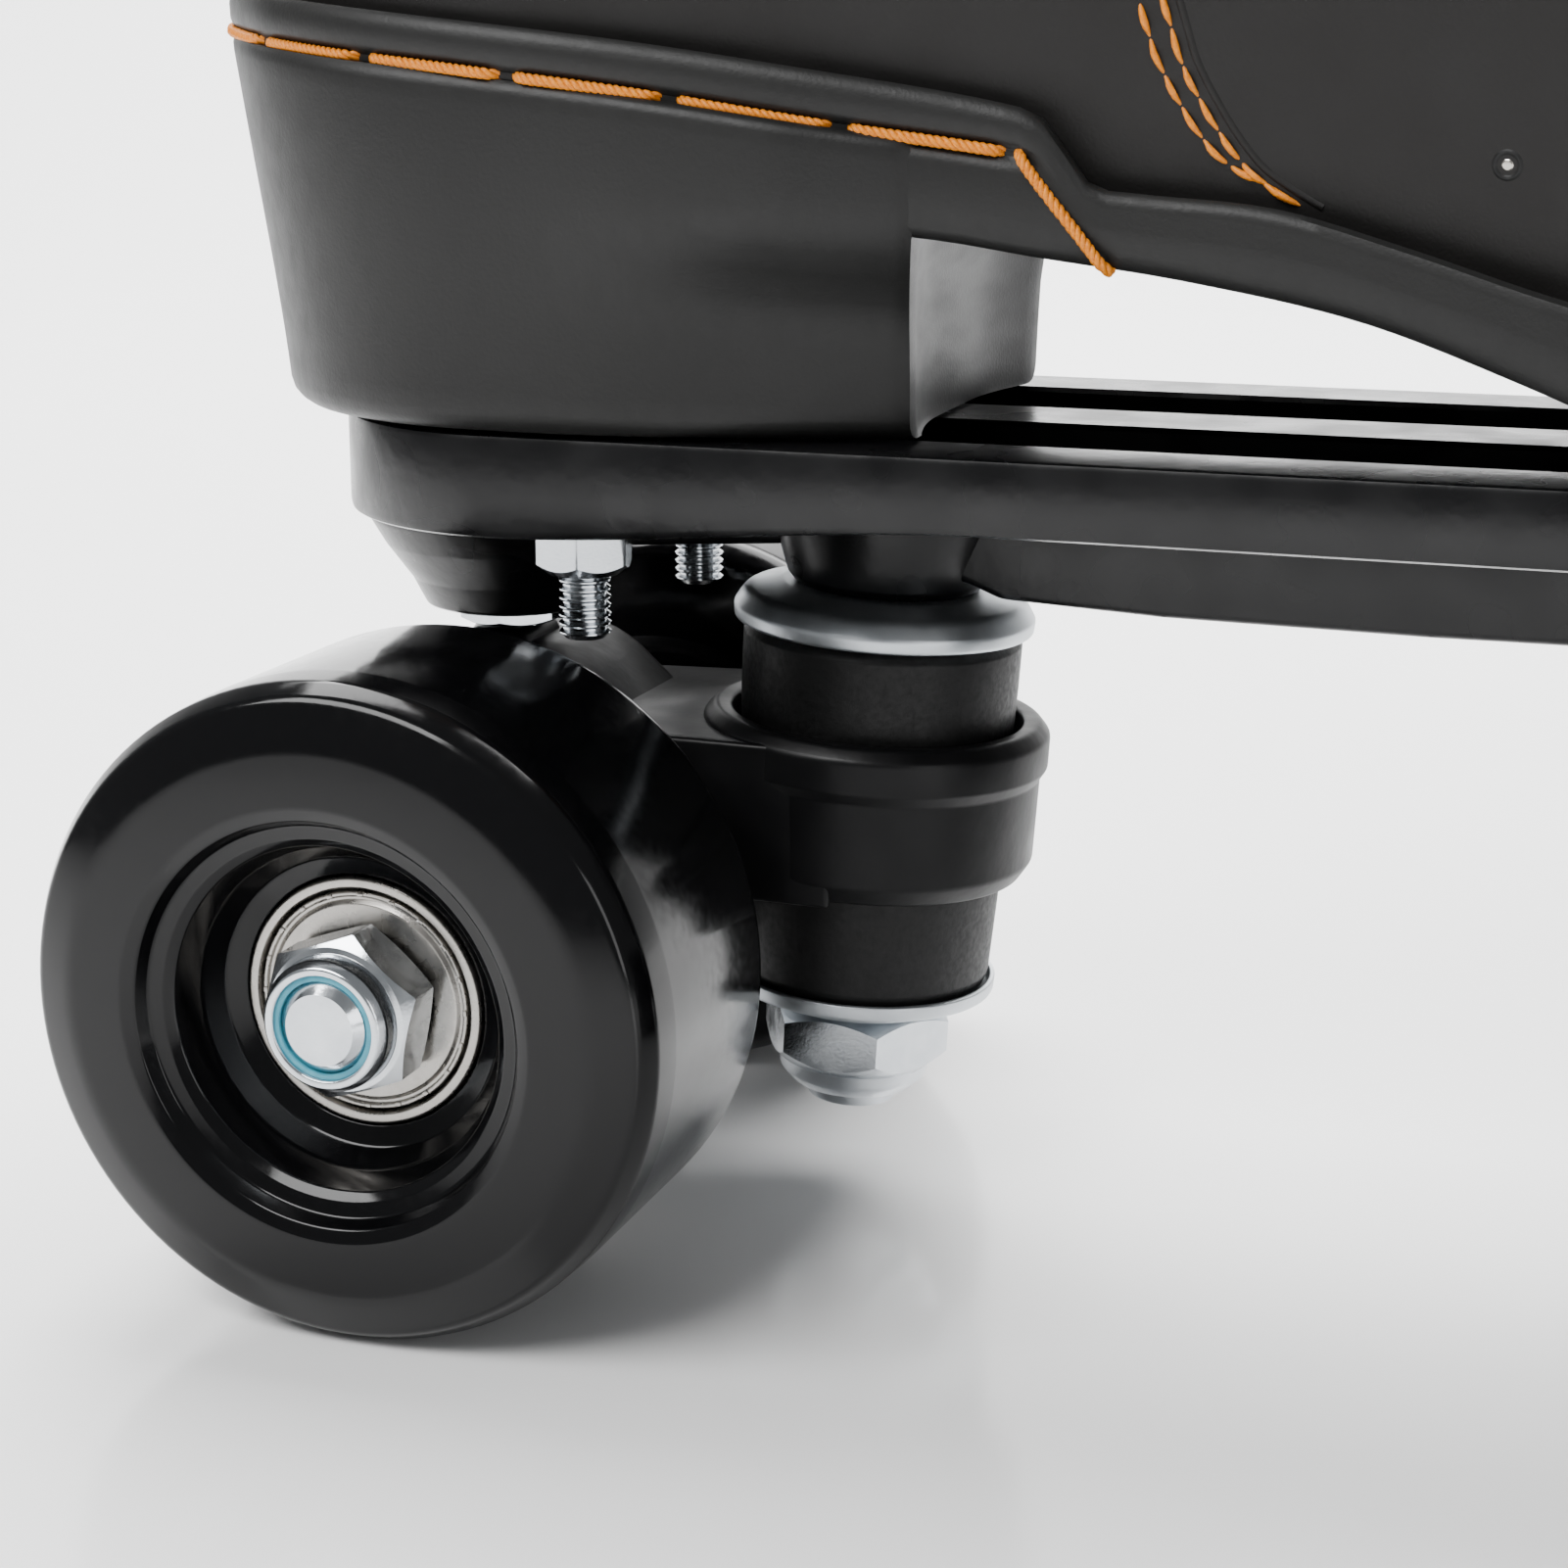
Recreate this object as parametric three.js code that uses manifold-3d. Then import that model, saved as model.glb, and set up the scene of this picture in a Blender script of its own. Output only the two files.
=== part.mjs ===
// One quad roller skate: high leather boot, heeled rubber sole, cast baseplate, two sprung trucks,
// four wheels on ball bearings and a toe stop. Millimetres, +Z up, +X toward the toe, +Y to the left.
import * as THREE from 'three';
import { mergeVertices } from 'three/addons/utils/BufferGeometryUtils.js';
import Module from 'manifold-3d';

const wasm = await Module();
wasm.setup();

// ---- Driving dimensions ----
const GAP = 0.3;
const WHEELBASE = 165;
const REAR_AXLE_X = -107;
const FRONT_AXLE_X = REAR_AXLE_X + WHEELBASE;

const WHEEL_R = 29;
const WHEEL_FACETS = 32;
const TREAD_R = WHEEL_R / Math.cos(Math.PI / WHEEL_FACETS);
const WHEEL_WIDTH = 32;
const TRACK = 76;
const WHEEL_OUT_Y = (TRACK + WHEEL_WIDTH) / 2;

const BEARING = { bore: 8, outer: 22, width: 7, recess: 8, spacing: 9 };
const AXLE = { r: 3.95, end: 53.9 };
const AXLE_NUT = { flats: 13, hex: 5, collarR: 6, collar: 2.3 };

const PLATE = { top: 75.3, padBottom: 65.4, railBottom: 68.6, halfWidth: 29, railInner: 19.5,
  centreHalf: 5.5, keelBottom: 58.1, keelHalf: 5, rearEnd: REAR_AXLE_X - 19, nose: FRONT_AXLE_X + 64 };
const BOLTS = {
  rear: [[7.5, 14.5], [7.5, -14.5]],
  front: [[7.5, 14.5], [7.5, -14.5], [-12.5, 14.5], [-12.5, -14.5]],
};
const KINGPIN = { x: 31.3, z: 22, lean: 3.6, r: 4.9, up: 15.5, down: 43, eye: 7.6 };
// Heights along the kingpin, from the middle of the ring's top side.
const STACK = { washerTop: 8, washerRim: 4.8, ringTop: -4, ringBottom: -19, lowerEnd: -29.8,
  washerEnd: -32.4 };
const PIVOT = { x: -6.5, z: 31.5, ball: 4.2, cup: 6.2, boss: 23.8 };
const TOE_STOP = { x: 100, z: 62, lean: 24, padR: 21.5, stemR: 7 };

const HEEL_BACK_X = -137.5;
const TOE_X = 137.5;
const HEEL_FRONT_X = -66;
const SHELL = 3.2;

// Half width, rim height, tray floor and underside along the sole, as [x, value].
const soleWidth = [
  [-137.5, 3], [-135.5, 10.5], [-131, 18], [-123, 26], [-112, 31], [-98, 33], [-80, 32], [-58, 30],
  [-30, 31], [0, 37], [28, 44.5], [55, 47.5], [80, 45.5], [103, 37.5], [119, 27.5], [129, 17.5],
  [135, 9], [137.5, 3],
];
const rimTop = [
  [-137.5, 113], [-115, 111], [-90, 108.5], [-72, 106.3], [-55, 103.8], [-51, 102.6], [-46, 97.8],
  [-35, 96.2], [-25, 93.6], [-13, 90], [5, 86], [40, 85], [100, 87], [137.5, 91.5],
];
const trayFloor = [
  [-137.5, 103], [-110, 101.5], [-80, 98.5], [-55, 95.4], [-35, 92], [-15, 87], [5, 83], [40, 81.6],
  [100, 83.4], [137.5, 87.5],
];
const soleUnder = [
  [-137.5, 95], [-66, 93], [-53, 91.4], [-42, 90], [-28, 87.4], [-15, 83.2], [-2, 78.4], [8, 75.6],
  [90, 75.6], [115, 77], [137.5, 82],
];
const soleStations = [
  -137.5, -136.4, -134.5, -131.5, -127, -121, -113, -104, -94, -82, -70, -60, -54, -51, -48.5, -46,
  -40, -32, -24, -15, -6, 3, 12, 24, 38, 54, 70, 84, 96, 106, 115, 122, 128, 132, 135, 136.6, 137.5,
];
// Half width of the heel block from its back (0) to its front face (1).
const heelWidth = [
  [0, 2.5], [0.03, 11], [0.1, 19], [0.2, 25.5], [0.32, 29.4], [0.46, 30.6], [0.64, 30], [0.82, 26.8],
  [1, 23],
];
// Half outlines of the boot from back to toe at five heights, as [x, y, z].
const rib = {
  feather: [
    [-134, 0], [-128.6, 17], [-106, 29.4], [-60, 26.4], [-15, 29.6], [45, 43], [95, 37.2],
    [124, 18.6], [133.8, 0],
  ],
  low: [
    [-136.8, 0, 131], [-130.5, 19, 130], [-105, 32.5, 128], [-60, 30.5, 121], [-15, 33.5, 111],
    [42, 46, 102], [96, 40, 102], [125.5, 21, 103], [136.6, 0, 104],
  ],
  middle: [
    [-134, 0, 166], [-126.5, 19, 165], [-100, 32, 161], [-60, 33.5, 154], [-15, 36, 136],
    [40, 41, 119], [90, 33.5, 118], [114, 18.5, 119], [124, 0, 120.5],
  ],
  high: [
    [-128.5, 0, 206], [-120.5, 19, 205], [-92, 32, 201], [-54, 32, 196], [-18, 28, 168],
    [22, 28, 143.5], [58, 22, 135], [77, 12, 133], [85, 0, 132.6],
  ],
  edge: [
    [-129.5, 0, 241], [-121, 20, 240], [-86, 32.5, 235], [-47, 21, 237], [-22, 15.5, 202],
    [8, 14.5, 168.5], [31, 12, 148], [42, 6.8, 140], [45.5, 0, 137.6],
  ],
};

const finish = {
  rubber: [0x2b2b2b, 0.55, 0],
  leather: [0x171615, 0.6, 0],
  lining: [0x202020, 0.9, 0],
  castAlloy: [0x1c1c1c, 0.4, 0.3],
  urethane: [0x141416, 0.18, 0],
  cushion: [0x161616, 0.6, 0],
  zinc: [0xb9bcbf, 0.28, 1],
  steel: [0xa6a8aa, 0.3, 1],
};

// ---- Geometry helpers ----
function named(name, geometry, look, parent) {
  const [color, roughness, metalness] = finish[look];
  const mesh = new THREE.Mesh(geometry, new THREE.MeshStandardMaterial({ color, roughness, metalness }));
  mesh.name = name;
  parent.add(mesh);
  return mesh;
}

function welded(geometry) {
  geometry.deleteAttribute('normal');
  geometry.deleteAttribute('uv');
  return mergeVertices(geometry, 1e-4);
}

function toManifold(geometry) {
  const flat = welded(geometry);
  const triVerts = Uint32Array.from(flat.index.array);
  const vertProperties = Float32Array.from(flat.attributes.position.array);
  return new wasm.Manifold(new wasm.Mesh({ numProp: 3, vertProperties, triVerts }));
}

function fromManifold(solid) {
  const mesh = solid.getMesh();
  const geometry = new THREE.BufferGeometry();
  const points = new Float32Array(mesh.numVert * 3);
  for (let i = 0; i < mesh.numVert; i += 1) {
    for (let k = 0; k < 3; k += 1) points[3 * i + k] = mesh.vertProperties[mesh.numProp * i + k];
  }
  geometry.setAttribute('position', new THREE.BufferAttribute(points, 3));
  geometry.setIndex(Array.from(mesh.triVerts));
  return geometry;
}

function combine(add, cut = []) {
  let solid = toManifold(add[0]);
  for (const geometry of add.slice(1)) solid = solid.add(toManifold(geometry));
  for (const geometry of cut) solid = solid.subtract(toManifold(geometry));
  return fromManifold(solid);
}

// Turned solid about Z from [radius, z] points that start and end on the axis or close on themselves.
function turned(profile, segments = 24) {
  const points = profile.map(([r, z]) => new THREE.Vector2(r, z));
  const geometry = new THREE.LatheGeometry(points, segments);
  geometry.rotateX(Math.PI / 2);
  if (signedVolume(geometry) < 0) flip(geometry);
  return welded(geometry);
}

function ring(inner, outer, z0, z1, segments = 24) {
  return turned([[inner, z0], [outer, z0], [outer, z1], [inner, z1], [inner, z0]], segments);
}

function rod(r, z0, z1, segments = 24) {
  return turned([[0, z0], [r, z0], [r, z1], [0, z1]], segments);
}

function signedVolume(geometry) {
  const flat = geometry.index ? geometry.toNonIndexed() : geometry;
  const p = flat.attributes.position;
  const a = new THREE.Vector3();
  const b = new THREE.Vector3();
  const c = new THREE.Vector3();
  let volume = 0;
  for (let i = 0; i < p.count; i += 3) {
    a.fromBufferAttribute(p, i);
    b.fromBufferAttribute(p, i + 1);
    c.fromBufferAttribute(p, i + 2);
    volume += a.dot(b.cross(c)) / 6;
  }
  return volume;
}

function flip(geometry) {
  const index = geometry.index.array;
  for (let i = 0; i < index.length; i += 3) [index[i], index[i + 1]] = [index[i + 1], index[i]];
  return geometry;
}

function box(x0, x1, y0, y1, z0, z1) {
  const geometry = new THREE.BoxGeometry(x1 - x0, y1 - y0, z1 - z0);
  return geometry.translate((x0 + x1) / 2, (y0 + y1) / 2, (z0 + z1) / 2);
}

// Prism with a side outline of [x, z] points, centred on y = 0.
function sidePrism(outline, width) {
  const shape = new THREE.Shape(outline.map(([x, z]) => new THREE.Vector2(x, z)));
  const geometry = new THREE.ExtrudeGeometry(shape, { depth: width, bevelEnabled: false });
  return geometry.rotateX(Math.PI / 2).translate(0, width / 2, 0);
}

// Closed skin over equal-length point loops: a hoop closes on itself, a run of loops gets end caps.
function skin(loops, hoop = false) {
  const count = loops[0].length;
  const positions = loops.flat().flatMap((p) => [p.x, p.y, p.z]);
  const index = [];
  const last = hoop ? loops.length : loops.length - 1;
  for (let i = 0; i < last; i += 1) {
    const next = (i + 1) % loops.length;
    for (let k = 0; k < count; k += 1) {
      const a = i * count + k;
      const b = i * count + ((k + 1) % count);
      const c = next * count + ((k + 1) % count);
      const d = next * count + k;
      index.push(a, b, c, a, c, d);
    }
  }
  if (!hoop) {
    for (let k = 1; k < count - 1; k += 1) {
      index.push(0, k + 1, k);
      const base = (loops.length - 1) * count;
      index.push(base, base + k, base + k + 1);
    }
  }
  const geometry = new THREE.BufferGeometry();
  geometry.setAttribute('position', new THREE.Float32BufferAttribute(positions, 3));
  geometry.setIndex(index);
  if (signedVolume(geometry) < 0) flip(geometry);
  return geometry;
}

function hexRod(flats, z0, z1) {
  return rod(flats / Math.sqrt(3), z0, z1, 6).rotateZ(Math.PI / 6);
}

// Smooth value along x through [x, value] knots.
function along(knots, x) {
  if (x <= knots[0][0]) return knots[0][1];
  for (let i = 1; i < knots.length; i += 1) {
    const [x0, v0] = knots[i - 1];
    const [x1, v1] = knots[i];
    if (x > x1) continue;
    const t = (x - x0) / (x1 - x0);
    const before = knots[Math.max(i - 2, 0)];
    const after = knots[Math.min(i + 1, knots.length - 1)];
    const m0 = ((v1 - before[1]) / (x1 - before[0])) * (x1 - x0);
    const m1 = ((after[1] - v0) / (after[0] - x0)) * (x1 - x0);
    return THREE.MathUtils.lerp(v0, v1, t * t * (3 - 2 * t)) + t * (1 - t) * ((1 - t) * m0 - t * m1);
  }
  return knots[knots.length - 1][1];
}

// ---- Wheel ----
function wheelProfile() {
  const b = BEARING;
  const seat = b.outer / 2 + 0.15;
  const inner = b.recess + b.width + b.spacing;
  return [
    [18.2, 0], [27.6, 1.4], [28.7, 3.3], [TREAD_R, 6.5], [TREAD_R, 25.5], [27.4, 30.6],
    [18, WHEEL_WIDTH], [13, WHEEL_WIDTH], [seat, WHEEL_WIDTH - 0.8], [seat, inner - GAP],
    [9.4, inner - GAP], [9.4, b.recess + b.width + GAP],
    [seat, b.recess + b.width + GAP], [seat, b.recess - 0.6], [13.4, 6.2], [15.6, 2], [18.2, 0],
  ];
}

// One wheel with its two bearings and spacer; outward is +1 for the left side, -1 for the right.
function addWheel(corner, outward, group) {
  const spin = new THREE.Group();
  spin.rotation.x = outward * (Math.PI / 2);
  spin.position.set(0, outward * WHEEL_OUT_Y, 0);
  const b = BEARING;
  const first = b.recess;
  const second = b.recess + b.width + b.spacing;
  const tyre = turned(wheelProfile(), WHEEL_FACETS).rotateZ(Math.PI / WHEEL_FACETS);
  named(`${corner}_wheel`, tyre, 'urethane', spin);
  for (const [place, from] of [['outer', first], ['inner', second]]) {
    named(`${corner}_${place}_bearing`, ring(4.15, b.outer / 2, from, from + b.width, 20), 'steel', spin);
  }
  const spacer = ring(4.3, 5.6, first + b.width + GAP, second - GAP, 12);
  named(`${corner}_bearing_spacer`, spacer, 'steel', spin);
  group.add(spin);
}

// ---- Truck: parts about the axle centre, kingpin toward +X ----
function kingpinFrame(truck) {
  const frame = new THREE.Group();
  frame.position.set(KINGPIN.x, 0, KINGPIN.z);
  frame.rotation.y = THREE.MathUtils.degToRad(KINGPIN.lean);
  truck.add(frame);
  return frame;
}

function onKingpin(geometry) {
  return geometry.rotateY(THREE.MathUtils.degToRad(KINGPIN.lean)).translate(KINGPIN.x, 0, KINGPIN.z);
}

function hangerGeometry() {
  const { ringTop, ringBottom } = STACK;
  const body = sidePrism([[-3, -7], [4, -8.2], [20, -2], [20, 16.5], [8, 16.5], [0, 22.6], [-11.5, 22.6],
    [-13.5, 20], [-12.5, 14], [-8.5, 3]], 19);
  const shelf = sidePrism([[2, 11], [19, 8], [19, 17.4], [6, 17.4]], 25);
  const boss = turned([[0, 15], [8, 15], [6, PIVOT.boss], [0, PIVOT.boss]], 16).translate(PIVOT.x, 0, 0);
  const housing = turned([[0, -22.7], [6, -22.7], [6, -21.4], [8.4, -20.6], [9, -12], [10, -6], [10, 6],
    [9, 12], [8.4, 20.6], [6, 21.4], [6, 22.7], [0, 22.7]], 20).rotateX(Math.PI / 2);
  const eye = onKingpin(turned([[0, ringBottom], [14.4, ringBottom], [15.6, ringBottom + 1.4],
    [15.6, -8.6], [16.2, -7.4], [16.2, ringTop - 1.2], [15.2, ringTop], [0, ringTop]], 24));
  const cuts = [
    onKingpin(rod(KINGPIN.eye, ringBottom - 4, ringTop + 4, 16)),
    onKingpin(rod(13.5, ringTop - 3, ringTop + 10, 24)),
    onKingpin(rod(13.2, ringBottom - 10, ringBottom + 2.5, 24)),
    rod(4.15, -30, 30, 16).rotateX(Math.PI / 2),
    rod(2.9, 12, 30, 12).translate(PIVOT.x, 0, 0),
  ];
  return combine([body, shelf, boss, housing, eye], cuts);
}

function washerGeometry(top, rim, r, reach, bore) {
  const t = 1.3;
  return turned([[bore, top - t], [8, top - t], [r - 1.5, rim + 0.9], [r - 1, rim - reach], [r, rim - reach],
    [r, rim + 1.2], [8.6, top], [bore, top], [bore, top - t]], 20);
}

function kingpinNut(z) {
  const collar = rod(7.9, z - 8.4, z - 5.5, 18);
  return combine([hexRod(16, z - 5.6, z), collar], [rod(5.15, z - 12, z + 2, 16)]);
}

function addTruck(end, x, turn, skate) {
  const truck = new THREE.Group();
  truck.position.set(x, 0, WHEEL_R);
  truck.rotation.z = turn;
  skate.add(truck);
  const s = STACK;
  named(`${end}_hanger`, hangerGeometry(), 'castAlloy', truck);
  const axle = turned([[0, -AXLE.end], [3.3, -AXLE.end], [AXLE.r, -AXLE.end + 0.8], [AXLE.r, AXLE.end - 0.8],
    [3.3, AXLE.end], [0, AXLE.end]], 16);
  named(`${end}_axle`, axle.rotateX(Math.PI / 2), 'steel', truck);

  const pin = kingpinFrame(truck);
  named(`${end}_kingpin`, rod(KINGPIN.r, -KINGPIN.down, KINGPIN.up, 16), 'zinc', pin);
  named(`${end}_upper_cup_washer`, washerGeometry(s.washerTop, s.washerRim, 14, 0.3, 5.2), 'zinc', pin);
  named(`${end}_upper_cushion`, ring(5.2, 13, s.ringTop - 3 + GAP, s.washerRim - 0.6, 20), 'cushion', pin);
  const lower = turned([[5.2, s.lowerEnd], [12.2, s.lowerEnd], [12.8, s.ringBottom + 2.5 - GAP],
    [5.2, s.ringBottom + 2.5 - GAP], [5.2, s.lowerEnd]], 20);
  named(`${end}_lower_cushion`, lower, 'cushion', pin);
  const cup = turned([[5.2, s.washerEnd], [8.8, s.washerEnd], [13, -30.6], [13, -29.4], [12.5, -29.4],
    [12.4, -30.1], [5.2, -30.1], [5.2, s.washerEnd]], 20);
  named(`${end}_lower_cup_washer`, cup, 'zinc', pin);
  named(`${end}_kingpin_nut`, kingpinNut(s.washerEnd - GAP), 'zinc', pin);

  const ball = turned([[0, 15], [2.7, 15], [2.7, PIVOT.z - 3.4], [3.6, PIVOT.z - 2], [PIVOT.ball, PIVOT.z],
    [3.6, PIVOT.z + 2.2], [2, PIVOT.z + 3.7], [0, PIVOT.z + PIVOT.ball]], 16);
  named(`${end}_pivot_pin`, ball.translate(PIVOT.x, 0, 0), 'zinc', truck);
  const lock = combine([hexRod(9, PIVOT.boss + GAP, PIVOT.boss + 3.4)], [rod(2.9, 20, 30, 12)]);
  named(`${end}_pivot_lock_nut`, lock.translate(PIVOT.x, 0, 0), 'zinc', truck);
  const socket = turned([[4.6, PIVOT.z - 1.6], [PIVOT.cup, PIVOT.z - 1.6], [PIVOT.cup, PIVOT.z + 6],
    [0, PIVOT.z + 6], [0, PIVOT.z + 4.6], [2.6, PIVOT.z + 4.1], [4.6, PIVOT.z + 2.6],
    [4.6, PIVOT.z - 1.6]], 16);
  named(`${end}_pivot_cup`, socket.translate(PIVOT.x, 0, 0), 'cushion', truck);

  for (const outward of [1, -1]) {
    const side = outward * Math.cos(turn) > 0 ? 'left' : 'right';
    addWheel(`${end}_${side}`, outward, truck);
    named(`${end}_${side}_axle_nut`, axleNut(outward), 'zinc', truck);
  }
}

function axleNut(outward) {
  const n = AXLE_NUT;
  const from = WHEEL_OUT_Y - BEARING.recess + GAP;
  const collar = rod(n.collarR, from + n.hex - 0.5, from + n.hex + n.collar, 16);
  const bore = rod(AXLE.r + 0.2, from - 2, from + 12, 12);
  const nut = combine([hexRod(n.flats, from, from + n.hex), collar], [bore]);
  return nut.rotateX(-outward * (Math.PI / 2));
}

// ---- Baseplate ----
function plateHalfWidth(x) {
  const fromRear = Math.min((x - PLATE.rearEnd) / 23, 1);
  const fromNose = Math.min((PLATE.nose - x) / 40, 1);
  const round = Math.sqrt(Math.max(1 - (1 - fromRear) ** 2, 0.04));
  const taper = Math.sqrt(Math.max(1 - (1 - fromNose) ** 2, 0.12));
  return PLATE.halfWidth * Math.min(round, taper);
}

function plateBottom(x) {
  const inboard = Math.min(x - (REAR_AXLE_X + 5), FRONT_AXLE_X - 5 - x);
  const rise = THREE.MathUtils.clamp(inboard / 45, 0, 1);
  return THREE.MathUtils.lerp(PLATE.padBottom, PLATE.railBottom, rise);
}

function plateSlab() {
  const { rearEnd, nose, top } = PLATE;
  const places = [0, 1.5, 4, 8, 13, 19, 26, 40, 70, 95, 117, 147, 170, 190, 202, 212, 222, 231, 238,
    243, 246, 248];
  const loops = places.map((step) => {
    const x = Math.min(rearEnd + step, nose);
    const w = plateHalfWidth(x);
    const z0 = plateBottom(x);
    const corners = [[-w, z0 + 1], [-w + 0.8, z0], [w - 0.8, z0], [w, z0 + 1], [w, top], [-w, top]];
    return corners.map(([y, z]) => new THREE.Vector3(x, y, z));
  });
  return skin(loops);
}

// What one truck needs under the plate: bosses for kingpin and pivot joined by a rib.
function truckMount(base) {
  const z = (level) => level - WHEEL_R;
  const low = STACK.washerTop + 2 * GAP;
  const kingBoss = turned([[0, low], [9.2, low], [11.5, 16.5], [0, 16.5]], 16);
  const pivotBoss = turned([[0, z(57.2)], [Math.max(8, base - 4.3), z(57.2)], [base - 1.5, z(61)], [base, z(63.5)],
    [base, z(66)], [0, z(66)]], 16);
  const rib = sidePrism([[0, 32.2], [26, 34], [26, z(67)], [0, z(67)]], 9);
  return [onKingpin(kingBoss), pivotBoss.translate(PIVOT.x, 0, 0), rib];
}

function truckCuts(bolts) {
  return [
    onKingpin(rod(KINGPIN.r + 0.2, 0, KINGPIN.up + GAP, 16)),
    rod(PIVOT.cup + 0.2, PIVOT.z - 6, PIVOT.z + 6 + GAP, 16).translate(PIVOT.x, 0, 0),
    ...bolts.map(([x, y]) => rod(2.6, 21, 61, 10).translate(x, y, 0)),
  ];
}

function atTruck(geometry, x, turn) {
  return geometry.rotateZ(turn).translate(x, 0, WHEEL_R);
}

function onToeStop(geometry) {
  return geometry.rotateY(THREE.MathUtils.degToRad(-TOE_STOP.lean)).translate(TOE_STOP.x, 0, TOE_STOP.z);
}

function addBaseplate(skate) {
  const trucks = [[REAR_AXLE_X, 0, BOLTS.rear, 13.5], [FRONT_AXLE_X, Math.PI, BOLTS.front, 10.6]];
  const middle = (REAR_AXLE_X + FRONT_AXLE_X) / 2;
  const add = [plateSlab()];
  const cut = [];
  for (const [x, turn, bolts, bossBase] of trucks) {
    add.push(...truckMount(bossBase).map((g) => atTruck(g, x, turn)));
    cut.push(...truckCuts(bolts).map((g) => atTruck(g, x, turn)));
  }
  const reach = WHEELBASE / 2 - KINGPIN.x - 15.2;
  const keel = sidePrism([[-reach - 15, 60.4], [-reach - 6, 60.4], [-reach - 3.5, 59.1],
    [-reach + 12, PLATE.keelBottom], [reach - 12, PLATE.keelBottom], [reach + 3.5, 59.1],
    [reach + 6, 60.4], [reach + 15, 60.4], [reach + 15, 70], [-reach - 15, 70]], 2 * PLATE.keelHalf);
  add.push(keel.translate(middle, 0, 0));
  add.push(onToeStop(rod(11.5, -2.5, 14, 20)));
  cut.push(box(-150, 150, -50, 50, PLATE.top, PLATE.top + 30));
  const pocket = reach + 13;
  const { centreHalf, railInner } = PLATE;
  for (const [y0, y1] of [[centreHalf, railInner], [-railInner, -centreHalf]]) {
    cut.push(box(middle - pocket, middle + pocket - 10, y0, y1, PLATE.railBottom + 2, PLATE.top + 5));
  }
  cut.push(onToeStop(rod(TOE_STOP.stemR + 0.2, -10, 11.5, 20)));
  named('baseplate', combine(add, cut), 'castAlloy', skate);
}

function addMountingBolts(skate) {
  const ends = [['rear', REAR_AXLE_X, 0], ['front', FRONT_AXLE_X, Math.PI]];
  for (const [end, x, turn] of ends) {
    const under = PLATE.padBottom - WHEEL_R - GAP;
    for (const [bx, by] of BOLTS[end]) {
      const side = by * Math.cos(turn) > 0 ? 'left' : 'right';
      const place = `${bx > 0 ? 'inboard' : 'outboard'}_${side}`;
      const stud = turned([[0, under - 10.2], [1.9, under - 10.2], [2.4, under - 9.6],
        [2.4, under + 10], [0, under + 10]], 8);
      const nut = hexRod(8, under - 3.8, under);
      const bolt = combine([stud, nut]).translate(bx, by, 0);
      named(`${end}_${place}_mounting_bolt`, atTruck(bolt, x, turn), 'zinc', skate);
    }
  }
}

// ---- Sole ----
function swing(x) {
  const t = THREE.MathUtils.clamp((x + 30) / 165, 0, 1);
  return 7 * t * t;
}

function soleLoop(x, inset, z0, z1, draft = 0) {
  const w = Math.max(along(soleWidth, x) - inset, 1);
  const y = swing(x);
  const low = Math.max(w - draft, 0.8);
  const corners = [[y - low, z0], [y + low, z0], [y + w, z1], [y - w, z1]];
  return corners.map(([cy, cz]) => new THREE.Vector3(x, cy, cz));
}

function soleSlab(inset, bottom, top, draft = 0, endInset = inset) {
  const stations = soleStations.map((x) => x * (1 - endInset / TOE_X));
  return skin(stations.map((x) => soleLoop(x, inset, bottom(x), top(x), draft)));
}

// Heel block: narrowing toward its front, set in a little at the ground, with a rounded lower edge.
function heelBlock() {
  const levels = [
    { z: PLATE.top + GAP, inset: 2.6, shift: 4.4, flare: 0 },
    { z: 76.6, inset: 0.9, shift: 3, flare: 0 },
    { z: 79, inset: 0, shift: 2.6, flare: 0 },
    { z: 90, inset: -1, shift: 1.4, flare: 0.3 },
    { z: 97, inset: -2, shift: 0.8, flare: 1 },
  ];
  const stations = [0, 0.03, 0.1, 0.2, 0.32, 0.46, 0.64, 0.82, 1];
  const loops = levels.map(({ z, inset, shift, flare }) => {
    const near = stations.map((t) => {
      const x = THREE.MathUtils.lerp(HEEL_BACK_X + shift, HEEL_FRONT_X, t);
      const spread = flare * 6 * THREE.MathUtils.smoothstep(t, 0.5, 1);
      return new THREE.Vector3(x, Math.max(along(heelWidth, t) - inset + spread, 1.5), z);
    });
    const far = near.map((p) => new THREE.Vector3(p.x, -p.y, p.z)).reverse();
    return [...near, ...far];
  });
  return skin(loops);
}

function addSole(skate) {
  const under = (x) => Math.max(along(soleUnder, x), PLATE.top + GAP);
  const slab = soleSlab(0, under, (x) => along(rimTop, x), 1.2);
  const tray = soleSlab(1.8, (x) => along(trayFloor, x), () => 130);
  named('outsole', combine([slab, heelBlock()], [tray]), 'rubber', skate);
  const insole = soleSlab(9.6, (x) => along(trayFloor, x) + 0.5, (x) => along(trayFloor, x) + 4, 0, 19);
  named('insole', insole, 'lining', skate);
}

// ---- Boot upper ----
function closedCurve(half) {
  const one = half.map(([x, y, z]) => new THREE.Vector3(x, y + swing(x), z));
  const other = half.slice(1, -1).reverse().map(([x, y, z]) => new THREE.Vector3(x, -y + swing(x), z));
  return new THREE.CatmullRomCurve3([...one, ...other], true, 'catmullrom', 0.5);
}

function ribCurves() {
  const feather = rib.feather.map(([x, y]) => [x, y, 0]);
  return [feather, rib.low, rib.middle, rib.high, rib.edge].map(closedCurve);
}

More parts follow.
